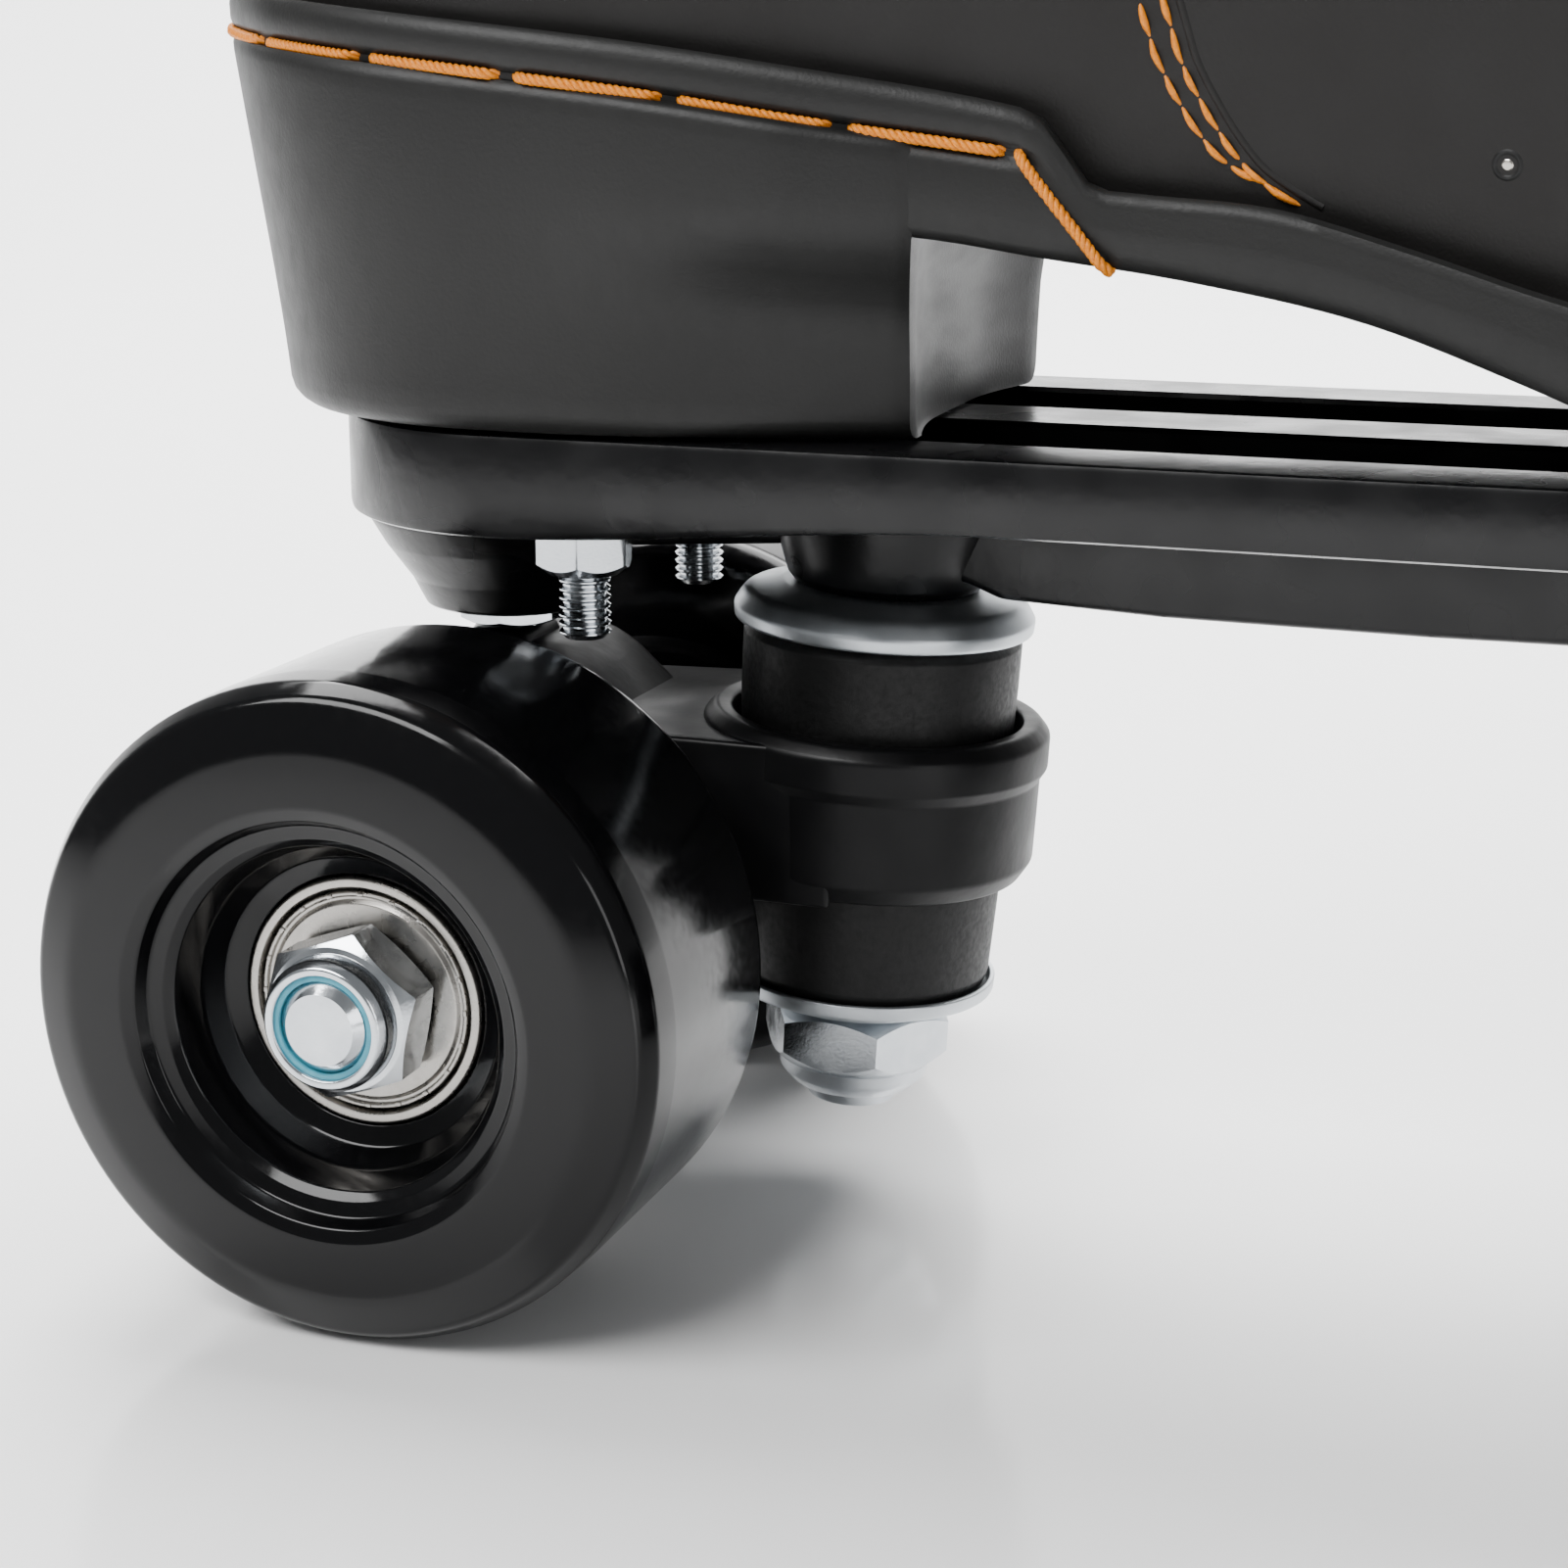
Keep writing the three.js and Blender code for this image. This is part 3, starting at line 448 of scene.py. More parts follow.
def makeBearing(end, side, which):
    body = f"{end}_{side}_wheel_set"
    start = wheel["recess"] if which == "outer" else bearing["innerStart"]
    place = wheelPlace(end, side) @ Matrix.Translation((0, 0, start * mm))
    bm = bmesh.new()
    outer = [(10.1, 0.0, 0.15), (10.85, 0.0, 0.25), (11.0, 0.3), (11.0, 6.7), (10.85, 7.0, 0.25),
             (10.1, 7.0, 0.15), (9.9, 6.6), (9.9, 0.4)]
    shield = [(5.75, 0.55, 0.1), (6.1, 0.28, 0.2), (8.6, 0.22, 0.3), (8.95, 0.5, 0.1), (9.2, 0.5, 0.1),
              (9.3, 0.18, 0.15), (9.62, 0.18, 0.15), (9.75, 0.6), (9.75, 6.4), (9.3, 6.8, 0.2), (8.6, 6.8, 0.2),
              (5.75, 6.4, 0.1)]
    inner = [(4.05, 0.25, 0.1), (4.3, 0.0, 0.1), (5.35, 0.0, 0.15), (5.55, 0.3), (5.55, 6.7), (5.35, 7.0, 0.15),
             (4.3, 7.0, 0.1), (4.05, 6.75, 0.1)]
    for profile in (outer, shield, inner):
        merge(bm, spun(profile, True, 96), place)
    for k in range(bearing["tabs"]):  # folded tabs that hold the shield
        tab = bmesh.new()
        bmesh.ops.create_cube(tab, size=1.0)
        bmesh.ops.scale(tab, vec=Vector(bearing["tab"]) * mm, verts=tab.verts)
        bmesh.ops.bevel(tab, geom=tab.edges[:], offset=0.06 * mm, offset_type="OFFSET", affect="EDGES",
                        segments=2, profile=0.5, material=-1)
        bmesh.ops.translate(tab, verts=tab.verts, vec=(bearing["tabAt"] * mm, 0, 0.22 * mm))
        merge(bm, tab, place @ Matrix.Rotation(2 * math.pi * k / bearing["tabs"], 4, "Z"))
    makePiece(f"{end}{side.title()}{which.title()}Bearing", bm, groundSteel, body,
              [f"{end}_{side}_{which}_bearing"])


lockNut = {"across": 13.0, "height": 7.3, "turn": -0.2}


def makeAxleNut(end, side):
    outward = 1 if side == "left" else -1
    base = wheel["outY"] - wheel["recess"] + 0.3
    place = Matrix.Translation((axleX[end] * mm, 0, axleZ * mm))
    place = place @ Matrix.Rotation(-outward * math.pi / 2, 4, "X")
    place = place @ Matrix.Translation((0, 0, base * mm)) @ Matrix.Rotation(lockNut["turn"], 4, "Z")
    top = lockNut["height"]
    bm = bmesh.new()
    blank = [(4.05, 0.5), (4.5, 0.0), (6.3, 0.0, 0.2), (7.45, 0.55), (7.45, 3.9), (6.3, 4.7, 0.15),
             (5.8, 4.85, 0.1), (5.75, 6.5, 0.5), (5.2, top, 0.4), (4.6, top - 0.05, 0.2), (4.5, 6.8),
             (4.05, 6.7)]
    merge(bm, cutFlats(spun(blank, True, 72), lockNut["across"]), place, 0)
    insert = [(4.0, 5.6), (4.55, 5.6), (4.55, 6.95, 0.1), (4.02, 7.0, 0.15)]
    merge(bm, spun(insert, True, 48), place, 1)
    makePiece(f"{end}{side.title()}AxleNut", bm, [zinc, nylon], f"{end}_truck",
              [f"{end}_{side}_axle_nut"], sharp=30)


axle = {"radius": 3.95, "half": 53.9, "threadTo": 44.5, "pitch": 1.0}


def makeAxle(end):
    bm = bmesh.new()
    radius, half = axle["radius"], axle["half"]
    tip = [(0.0, -half), (3.1, -half, 0.25), (radius, 0.9 - half, 0.1)]
    tip += threadProfile(radius, 1 - half, -axle["threadTo"], axle["pitch"], 0.42)
    far = [(point[0], -point[1]) for point in reversed(tip)]
    merge(bm, spun(tip + far, False, 48), Matrix.Translation((axleX[end] * mm, 0, axleZ * mm))
          @ Matrix.Rotation(math.pi / 2, 4, "X"))
    makePiece(f"{end}Axle", bm, zinc, f"{end}_truck", [f"{end}_axle"], sharp=30)
    spacers = bmesh.new()
    for side in ("left", "right"):
        sleeve = [(4.3, 15.4), (5.6, 15.4, 0.2), (5.6, 23.6, 0.2), (4.3, 23.6)]
        merge(spacers, spun(sleeve, True, 32), wheelPlace(end, side))
    makePiece(f"{end}BearingSpacers", spacers, groundSteel, f"{end}_truck",
              [f"{end}_left_bearing_spacer", f"{end}_right_bearing_spacer"])


hanger = {"ringOuter": 15.6, "lip": 16.35, "ringTop": -4.0, "ringBottom": -19.0, "bore": 7.6,
          "bodyHalf": 9.5, "cheekHalf": 12.6, "webHalf": 15.5, "webHollow": 14.6}
kingpin = {"x": 31.3, "z": 22.0, "lean": 3.6, "radius": 4.9, "down": 43.0}


def makeHanger(end):
    place = atTruck(end)
    bm = bmesh.new()
    side = [(-3, -7), (4, -8.2), (12, -6.4), (19, -3), (19, 15.2), (8, 16.5), (3, 21), (0, 22.6), (-11.5, 22.6),
            (-13.5, 20), (-12.5, 14), (-9.5, 6), (-8.5, -2)]
    merge(bm, prism(side, hanger["bodyHalf"], 1.3, 4), place)
    cheek = [(-4, 0), (14, -1.5), (17.5, 3.5), (17.5, 12), (2, 14), (-5, 9)]
    merge(bm, prism(cheek, hanger["cheekHalf"], 2.4, 5), place)
    hollow = [math.radians(90 + 7.5 * k) for k in range(25)]  # the web reaches round the ring's near half
    inner = hanger["webHollow"]
    web = [(3, 13.6), (14, 15.0), (kingpin["x"], hanger["webHalf"])]
    web += [(kingpin["x"] + inner * math.cos(a), -inner * math.sin(a)) for a in reversed(hollow)]
    web += [(kingpin["x"], -hanger["webHalf"]), (14, -15.0), (3, -13.6)]
    lying = place @ Matrix.Translation((0, 0, 10 * mm)) @ Matrix.Rotation(-math.pi / 2, 4, "X")
    merge(bm, prism(web, 7.4, 0.7, 4), lying)
    foot = [(-10.8, 18.5), (-2.2, 18.5), (-3.4, 23.8), (-9.6, 23.8)]
    merge(bm, prism(foot, 4.6, 1.1, 4), place)
    halfBarrel = [(10.4, 5, 3), (9.2, 12, 2.0), (8.4, 20.2, 0.8), (6.6, 21.0, 0.4), (6.2, 22.6, 0.4),
                  (4.15, 22.6, 0)]
    barrel = [(r, -z, fillet) for r, z, fillet in reversed(halfBarrel)] + halfBarrel
    merge(bm, spun(barrel, True, 80), place @ Matrix.Rotation(math.pi / 2, 4, "X"))
    top, low = hanger["ringTop"], hanger["ringBottom"]
    eye = [(hanger["bore"], low + 2.5, 0.3), (13.3, low + 2.5, 0.2), (13.4, low, 0.5), (14.5, low, 0.7),
           (hanger["ringOuter"], low + 1.8, 1.2), (15.7, -9.3, 0.8), (hanger["lip"], -8.2, 0.7),
           (hanger["lip"], top - 1.2, 1.0), (15.3, top, 0.9), (13.7, top - 0.1, 0.5), (13.5, top - 3.0, 0.2),
           (hanger["bore"], top - 3.0, 0.3)]
    merge(bm, spun(eye, True, 128), onKingpin(end))
    makePiece(f"{end}Hanger", bm, satinEnamel, f"{end}_truck", [f"{end}_hanger"], sharp=50)


cushions = {
    "upper": {"profile": [(5.3, -6.7), (12.8, -6.7, 0.4), (13.0, -1, 4), (13.05, 3.2, 0.6), (12.3, 4.3, 0.6),
                          (5.3, 5.2)], "fixed": 4, "moving": -4},
    "lower": {"profile": [(5.3, -31.2), (8.8, -31.0, 0.4), (11.9, -29.9, 0.5), (12.3, -28.6, 0.8),
                          (12.75, -20, 2), (12.8, -16.8, 0.4), (5.3, -16.8)], "fixed": -29, "moving": -19},
}


def makeKingpinStack(end):
    place = onKingpin(end)
    root = "boot_and_plate"
    pin = bmesh.new()
    radius, tip = kingpin["radius"], -kingpin["down"]
    shank = [(0, 15.5), (radius, 15.5, 0.2), (radius, tip + 15)]
    shank += [(r, -z) for r, z in threadProfile(radius, -tip - 15, -tip - 1.5, 1.25, 0.5)]
    merge(pin, spun(shank + [(4.3, tip + 0.4, 0.3), (0, tip)], False, 48), place)
    makePiece(f"{end}Kingpin", pin, zinc, root, [f"{end}_kingpin"], sharp=30)

    upper = bmesh.new()
    dome = [(5.1, 6.7), (8.0, 6.7, 0.5), (12.2, 5.2, 0.5), (12.9, 4.3, 0.3), (14.0, 4.3, 0.45),
            (14.1, 5.6, 0.8), (13.1, 7.2, 1.6), (9.6, 8.0, 1.2), (5.1, 8.0, 0.2)]
    merge(upper, spun(dome, True, 112), place)
    makePiece(f"{end}UpperCupWasher", upper, dullZinc, root, [f"{end}_upper_cup_washer"])

    lower = bmesh.new()
    cup = [(5.1, -32.4), (8.8, -32.4, 0.7), (12.9, -30.75, 0.5), (13.0, -29.4, 0.2), (12.5, -29.3, 0.2),
           (12.3, -30.1, 0.4), (8.8, -31.3, 0.6), (5.1, -31.3)]
    merge(lower, spun(cup, True, 112), place)
    makePiece(f"{end}LowerCupWasher", lower, dullZinc, root, [f"{end}_lower_cup_washer"])

    for level, seat in cushions.items():
        bm = bmesh.new()
        line = filleted(seat["profile"], True)
        profile = []
        for a, b in zip(line, line[1:] + line[:1]):  # close rings along the profile, evenly spaced
            pieces = max(1, int((b - a).length / 1.5))
            profile += [tuple(a.lerp(b, k / pieces)) for k in range(pieces)]
        merge(bm, spun(profile, True, 96), place)
        piece = makePiece(f"{end}{level.title()}Cushion", bm, cushionRubber, None,
                          [f"{end}_{level}_cushion"])
        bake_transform(piece)

    nut = bmesh.new()
    blank = [(5.0, -33.3), (5.5, -32.8), (7.4, -32.7, 0.3), (9.3, -33.9), (9.3, -36.7), (7.5, -38.4, 0.3),
             (7.3, -38.6, 0.2), (7.1, -39.9, 1.0), (5.9, -41.1, 0.5), (5.6, -41.0), (5.5, -40.4), (5.0, -40.4)]
    merge(nut, cutFlats(spun(blank, True, 72), 16.0, twist=math.pi / 6), place, 0)
    insert = [(4.95, -39.2), (5.55, -39.2), (5.55, -40.7, 0.1), (5.0, -40.8, 0.1)]
    merge(nut, spun(insert, True, 48), place, 1)
    makePiece(f"{end}KingpinNut", nut, [zinc, nylon], root, [f"{end}_kingpin_nut"], sharp=30)


pivotX = -6.5


def makePivot(end):
    place = atTruck(end) @ Matrix.Translation((pivotX * mm, 0, 0))
    pin = bmesh.new()
    stem = [(0, 15), (2.6, 15)] + threadProfile(2.7, 20.0, 28.0, 0.8, 0.3)
    ball = [(2.3, 28.4, 0.3), (3.6, 29.5, 0.8), (4.2, 31.5, 1.2), (3.6, 33.7, 0.8), (2.0, 35.2, 0.8), (0, 35.7)]
    merge(pin, spun(stem + ball, False, 48), place)
    makePiece(f"{end}PivotPin", pin, zinc, f"{end}_truck", [f"{end}_pivot_pin"])
    nut = bmesh.new()
    blank = [(2.75, 24.1), (4.3, 24.1, 0.2), (5.25, 24.6), (5.25, 26.7), (4.3, 27.2, 0.2), (2.75, 27.2)]
    merge(nut, cutFlats(spun(blank, True, 60), 9.0, twist=0.2), place)
    makePiece(f"{end}PivotLockNut", nut, zinc, f"{end}_truck", [f"{end}_pivot_lock_nut"],
              sharp=30)
    cup = bmesh.new()
    socket = [(4.6, 29.9, 0.3), (6.2, 29.9, 0.3), (6.2, 37.5, 0.3), (0, 37.5)]
    merge(cup, spun(socket + [(0, 36.1), (2.6, 35.6, 0.5), (4.6, 34.1, 0.5)], True, 48), place)
    makePiece(f"{end}PivotCup", cup, cushionRubber, "boot_and_plate", [f"{end}_pivot_cup"])


plate = {"top": 75.3, "rear": -126.0, "nose": 122.0, "half": 29.0, "rearRound": 23, "noseRound": 40,
         "padBottom": 66.2, "railBottom": 68.8, "pocketStart": -73.5, "pocketEnd": 14.5, "pocketFloor": 70.6,
         "railInner": 19.5, "centreHalf": 5.5, "chamfer": 0.8}
boltSpots = {"rear": [(7.5, 14.5), (7.5, -14.5)],
             "front": [(7.5, 14.5), (7.5, -14.5), (-12.5, 14.5), (-12.5, -14.5)]}


def plateHalf(x):
    fromRear = min((x - plate["rear"]) / plate["rearRound"], 1)
    fromNose = min((plate["nose"] - x) / plate["noseRound"], 1)
    rounded = math.sqrt(max(1 - (1 - fromRear) ** 2, 0.03))
    taper = math.sqrt(max(1 - (1 - fromNose) ** 2, 0.1))
    return plate["half"] * min(rounded, taper)


def plateBottom(x):
    inboard = min(x + 104, 55 - x)
    return plate["padBottom"] + (plate["railBottom"] - plate["padBottom"]) * smooth(0, 46, inboard)


def makeBaseplate():
    bm = bmesh.new()
    top, c = plate["top"], plate["chamfer"]
    pocket = (plate["pocketStart"], plate["pocketEnd"])
    straight = (plate["rear"] + plate["rearRound"], plate["nose"] - plate["noseRound"])
    stations = [straight[0] - plate["rearRound"] * math.cos(math.pi / 2 * k / 30) for k in range(31)]
    stations += [straight[0] + 2.6 * k for k in range(1, 71)]
    stations += [straight[1] + plate["noseRound"] * math.sin(math.pi / 2 * k / 30) for k in range(31)]
    for x in pocket:
        stations += [x - 0.5, x - 0.02, x + 0.02, x + 0.5]
    rows = []
    for x in sorted(stations):
        w, low = plateHalf(x), plateBottom(x)
        inside = pocket[0] < x < pocket[1]
        depth = top - plate["pocketFloor"] if inside else 0.0
        ease = 0.45 if inside else 0.0
        a, b = min(plate["railInner"], 0.67 * w), min(plate["centreHalf"], 0.19 * w)
        half = [(w - c, low), (w - 0.3 * c, low + 0.3 * c), (w, low + c), (w, top - 0.55),
                (w - 0.15, top - 0.15), (w - 0.55, top), (a + 0.5, top), (a, top - ease), (a, top - depth),
                (b, top - depth), (b, top - ease), (b - 0.45, top)]
        rows.append([Vector((x, y, z)) for y, z in half] + [Vector((x, -y, z)) for y, z in reversed(half)])
    slab = bmesh.new()
    skinRows(slab, rows, capEnds=True)
    merge(bm, slab)
    keel = [(-74, 60.4), (-66.5, 60.4), (-63, 59), (-48, 58.3), (-24.5, 58.1), (-1, 58.3), (14, 59),
            (17.5, 60.4), (25, 60.4), (25, 70), (-74, 70)]
    merge(bm, prism(keel, 5, 0.8, 3))
    for end in ("rear", "front"):
        place = atTruck(end)
        kingBoss = [(0, 8.1), (8.6, 8.1, 0.3), (9.3, 8.9, 0.6), (12.0, 17.0, 1.0), (0, 17.0)]
        merge(bm, spun(kingBoss, False, 80), onKingpin(end))
        base = 13.5 if end == "rear" else 10.6
        pivotBoss = [(6.4, 29.4), (6.4, 25.9, 0.2), (7.0, 25.6, 0.4), (8.2, 26.0, 0.6),
                     (max(8.4, base - 4), 28.6, 2), (base - 1.5, 32.0, 3.0), (base, 34.6, 1.5), (base, 38.0),
                     (0, 38.0), (0, 37.6), (6.4, 37.6)]
        merge(bm, spun(pivotBoss, True, 80), place @ Matrix.Translation((pivotX * mm, 0, 0)))
        rib = [(0, 32.2), (26, 34), (26, 38), (0, 38)]
        merge(bm, prism(rib, 4.5, 0.8, 3), place)
    stopBoss = [(7.2, 12), (7.2, -2.2, 0.3), (11.0, -2.5, 0.6), (11.5, -1.4, 0.6), (11.5, 11)]
    merge(bm, spun(stopBoss, True, 64), onToeStop)
    makePiece("castPlate", bm, enamel, "boot_and_plate", ["baseplate"], sharp=32)


def makeBolts(end):
    under = plate["padBottom"] - axleZ
    for x, y in boltSpots[end]:
        place = atTruck(end) @ Matrix.Translation((x * mm, y * mm, 0))
        side = "left" if y * math.cos(turn[end]) > 0 else "right"
        where = "inboard" if x > 0 else "outboard"
        bm = bmesh.new()
        stud = [(0, under - 11.2), (1.8, under - 11.2, 0.2)]
        stud += threadProfile(2.4, under - 11, under - 0.6, 0.8, 0.34)
        merge(bm, spun(stud + [(2.4, under), (2.4, under + 9), (0, under + 9)], False, 40), place)
        blank = [(2.3, under - 5.2), (3.4, under - 5.2, 0.2), (4.7, under - 4.1), (4.7, under - 1.0),
                 (4.4, under - 0.7, 0.1), (2.3, under - 0.7)]
        merge(bm, cutFlats(spun(blank, True, 60), 8.2, twist=0.1 + x), place)
        washer = [(2.5, under - 0.7), (4.9, under - 0.7, 0.15), (4.9, under, 0.1), (2.5, under)]
        merge(bm, spun(washer, True, 60), place)
        makePiece(f"{end}{where.title()}{side.title()}Bolt", bm, zinc, "boot_and_plate",
                  [f"{end}_{where}_{side}_mounting_bolt"], sharp=30)


toeStop = {"x": 100.0, "z": 62.0, "lean": 24.0, "padRadius": 21.4, "nutAcross": 22.0}
onToeStop = (Matrix.Translation((toeStop["x"] * mm, 0, toeStop["z"] * mm))
             @ Matrix.Rotation(math.radians(-toeStop["lean"]), 4, "Y"))


def makeToeStop():
    pad = bmesh.new()
    shape = [(0, -44), (14.6, -44, 1.0), (20, -42.2, 2.0), (toeStop["padRadius"], -36.5, 2.5),
             (19.4, -25.5, 1.5), (18.4, -23.4, 0.8), (13.5, -22, 0.8), (9.5, -22, 0.3), (9.0, -23.0, 0.3),
             (0, -23.0)]
    merge(pad, spun(shape, False, 112), onToeStop)
    makePiece("toeStopPad", pad, soleRubber, "toe_stop", ["toe_stop_pad"])
    stem = bmesh.new()
    screw = [(0, -23.5), (6.6, -23.5)] + threadProfile(6.95, -21.6, 8.8, 1.6, 0.6) + [(6.2, 9.3), (0, 9.5)]
    merge(stem, spun(screw, False, 56), onToeStop)
    makePiece("toeStopStem", stem, zinc, "toe_stop", ["toe_stop_stem"], sharp=30)
    nut = bmesh.new()
    blank = [(7.2, -10.5), (10.6, -10.5, 0.3), (12.75, -9.7), (12.75, -3.6), (10.6, -2.8, 0.3), (7.2, -2.8)]
    merge(nut, cutFlats(spun(blank, True, 72), toeStop["nutAcross"]), onToeStop)
    makePiece("toeStopLockNut", nut, zinc, "boot_and_plate", ["toe_stop_lock_nut"], sharp=30)


sole = {
    "half": [(-137.5, 3), (-135.5, 10.5), (-131, 18), (-123, 26), (-112, 31), (-98, 33), (-80, 32), (-58, 30),
             (-30, 31), (0, 37), (28, 44.5), (55, 47.5), (80, 45.5), (103, 37.5), (119, 27.5), (129, 17.5),
             (135, 9), (137.5, 3)],
    "rim": [(-137.5, 113), (-115, 111), (-90, 108.5), (-72, 106), (-56, 103.4), (-53.1, 102.1), (-50.9, 98.9),
            (-49.4, 97.3), (-46, 96.8), (-35, 95.9), (-25, 93.4), (-13, 90), (5, 86), (40, 85), (100, 87),
            (137.5, 91.5)],
    "floor": [(-137.5, 103), (-110, 101.5), (-80, 98.5), (-55, 95.4), (-35, 92), (-15, 87), (5, 83), (40, 81.6),
              (100, 83.4), (137.5, 87.5)],
    "under": [(-137.5, 95), (-66, 93), (-53, 91.4), (-42, 90), (-28, 87.4), (-15, 83.2), (-2, 78.4), (8, 75.6),
              (90, 75.6), (115, 77), (137.5, 82)],
    "stitch": [(-137.5, 109.2), (-114.5, 107.0), (-102.8, 105.9), (-87, 104.1), (-72.3, 101.9), (-57, 99.9),
               (-53, 99.3)],
    "reach": 137.5,
    "stitchEnd": -54.5,
    "lip": 1.8,
}
heel = {"back": -136.0, "front": -66.2, "bottom": 75.6, "rake": 0.4, "flare": 5.6, "advance": 2.0, "skew": 1.1,
        "half": [(0, 2.5), (0.03, 11), (0.1, 19), (0.2, 25.5), (0.32, 29.4), (0.46, 30.6), (0.64, 30),
                 (0.82, 26.8), (1, 23)]}


def swing(x):
    t = min(max((x + 30) / 165, 0), 1)
    return 7 * t * t


def spread(start, end, count):  # stations crowded toward both ends
    return [start + (end - start) * (1 - math.cos(math.pi * k / count)) / 2 for k in range(count + 1)]


def makeOutsole():
    heelStart = -66  # behind here the sole's lower wall draws in, inside the heel block
    bm = bmesh.new()
    rows = []
    for x in spread(-sole["reach"], sole["reach"], 220):
        w = max(along(sole["half"], x), 1.0)
        y = swing(x)
        top, floor = along(sole["rim"], x), along(sole["floor"], x)
        under = max(along(sole["under"], x), heel["bottom"])
        groove = along(sole["stitch"], x)
        hidden = 1.8 * (1 - smooth(-88, -78, x))  # behind the heel block below the stitching
        lip = min(sole["lip"], 0.45 * w)
        wall = [(w - lip, floor), (w - lip, top - 0.6), (w - lip * 0.75, top - 0.1), (w - lip * 0.4, top),
                (w - lip * 0.12, top - 0.35), (w, top - 1.1)]
        if x < sole["stitchEnd"]:
            wall += [(w + 0.1, (top + groove) / 2 + 0.4), (w, groove + 1.1), (w - 0.3, groove + 0.65),
                     (w - 0.8, groove + 0.25), (w - 0.8, groove - 0.3), (w - 0.2 - hidden, groove - 0.8),
                     (w - hidden, groove - 1.6)]
        else:
            mid = (top + under) / 2
            wall += [(w, top - 1.1 - k * (top - 1.1 - mid) / 7) for k in range(1, 8)]
        low = wall[-1][1]
        wall += [(w - hidden - 0.25, low + (under - low) * 0.5), (w - hidden - 0.6, under + 1.0),
                 (w - hidden - 1.1, under + 0.3), (w - hidden - 2.0, under)]
        shrink = [0.06 * min(0, x - heelStart) if k > 10 else 0 for k in range(len(wall))]
        near = [Vector((x - back, y - max(h, 0.4), z)) for (h, z), back in zip(wall, shrink)]
        far = [Vector((p.x, 2 * y - p.y, p.z)) for p in reversed(near)]
        rows.append(near + far)
    skinRows(bm, rows, capEnds=True)

    block = bmesh.new()
    levels = [0, 0.008, 0.02, 0.04, 0.07, 0.12, 0.2, 0.3, 0.38, 0.46, 0.54, 0.62, 0.68, 0.74, 0.8, 0.86, 0.92,
              0.96, 0.985, 1.0]
    shapes = []
    for v in levels:
        edge = 2.2 * (1 - math.sqrt(max(1 - (1 - min(v / 0.07, 1)) ** 2, 0)))  # rounded lower edge
        roll = 0.7 * (1 - math.sqrt(max(1 - ((max(v, 0.955) - 0.955) / 0.045) ** 2, 0)))
        back = heel["back"] + 3.9 * (1 - v) ** 0.8 + edge * 0.6
        ring = []
        for k in range(57):
            t = 0.5 - 0.5 * math.cos(math.pi * k / 56)
            x = back + (heel["front"] + heel["rake"] * v - back) * t
            z = heel["bottom"] + (along(sole["stitch"], x) - 0.35 - heel["bottom"]) * v
            spreadOut = smooth(85, 95, z) * smooth(0.5, 1, t)
            x += heel["advance"] * spreadOut
            flare = 2.4 * smooth(0, 1, v) + heel["flare"] * spreadOut
            tucked = 0.5 * smooth(-76, -70, x) * smooth(92, 94, z)  # slides inside the sole's own wall
            half = along(heel["half"], t) + flare - edge - roll - tucked - 0.4 * max(0, (t - 0.985) / 0.015)
            skew = heel["skew"] + heel["advance"] * spreadOut
            ring.append((x, max(half, 0.5), z, skew * smooth(0.85, 1, t)))
        cornerX, cornerY, z, skew = ring[-1]
        for k in range(1, 14):  # hollowed front face
            a = k / 13
            x = cornerX + 0.35 - 2.4 * math.sin(math.pi / 2 * min(1, 1.4 * a))
            ring.append((x, cornerY * (1 - a), z, skew * (1 - 0.5 * a)))
        near = [Vector((x - (skew - lean if i > 56 else 0), -y, z)) for i, (x, y, z, lean) in enumerate(ring)]
        far = [Vector((x - lean, y, z)) for x, y, z, lean in reversed(ring[:-1])]
        shapes.append(near + far)
    skinRows(block, shapes, capEnds=True)
    merge(bm, block)
    makePiece("heeledSole", bm, soleRubber, "boot_and_plate", ["outsole"], sharp=40)


insoleReach = 118.5


def makeInsole():
    bm = bmesh.new()
    rows = []
    for x in spread(-insoleReach, insoleReach, 90):
        w = max(along(sole["half"], x * 1.16) - 9.6, 0.8)
        y, floor = swing(x), along(sole["floor"], x)
        rise = [(w, 0.5), (w, 2.6), (w - min(1.4, w * 0.5), 4.0)]
        dish = [Vector((x, y - w * 0.5, floor + 3.7)), Vector((x, y, floor + 3.5)),
                Vector((x, y + w * 0.5, floor + 3.7))]
        rows.append([Vector((x, y - h, floor + z)) for h, z in rise] + dish
                    + [Vector((x, y + h, floor + z)) for h, z in reversed(rise)])
    skinRows(bm, rows, capEnds=True)
    makePiece("footbed", bm, lining, "boot_and_plate", ["insole"], sharp=50)


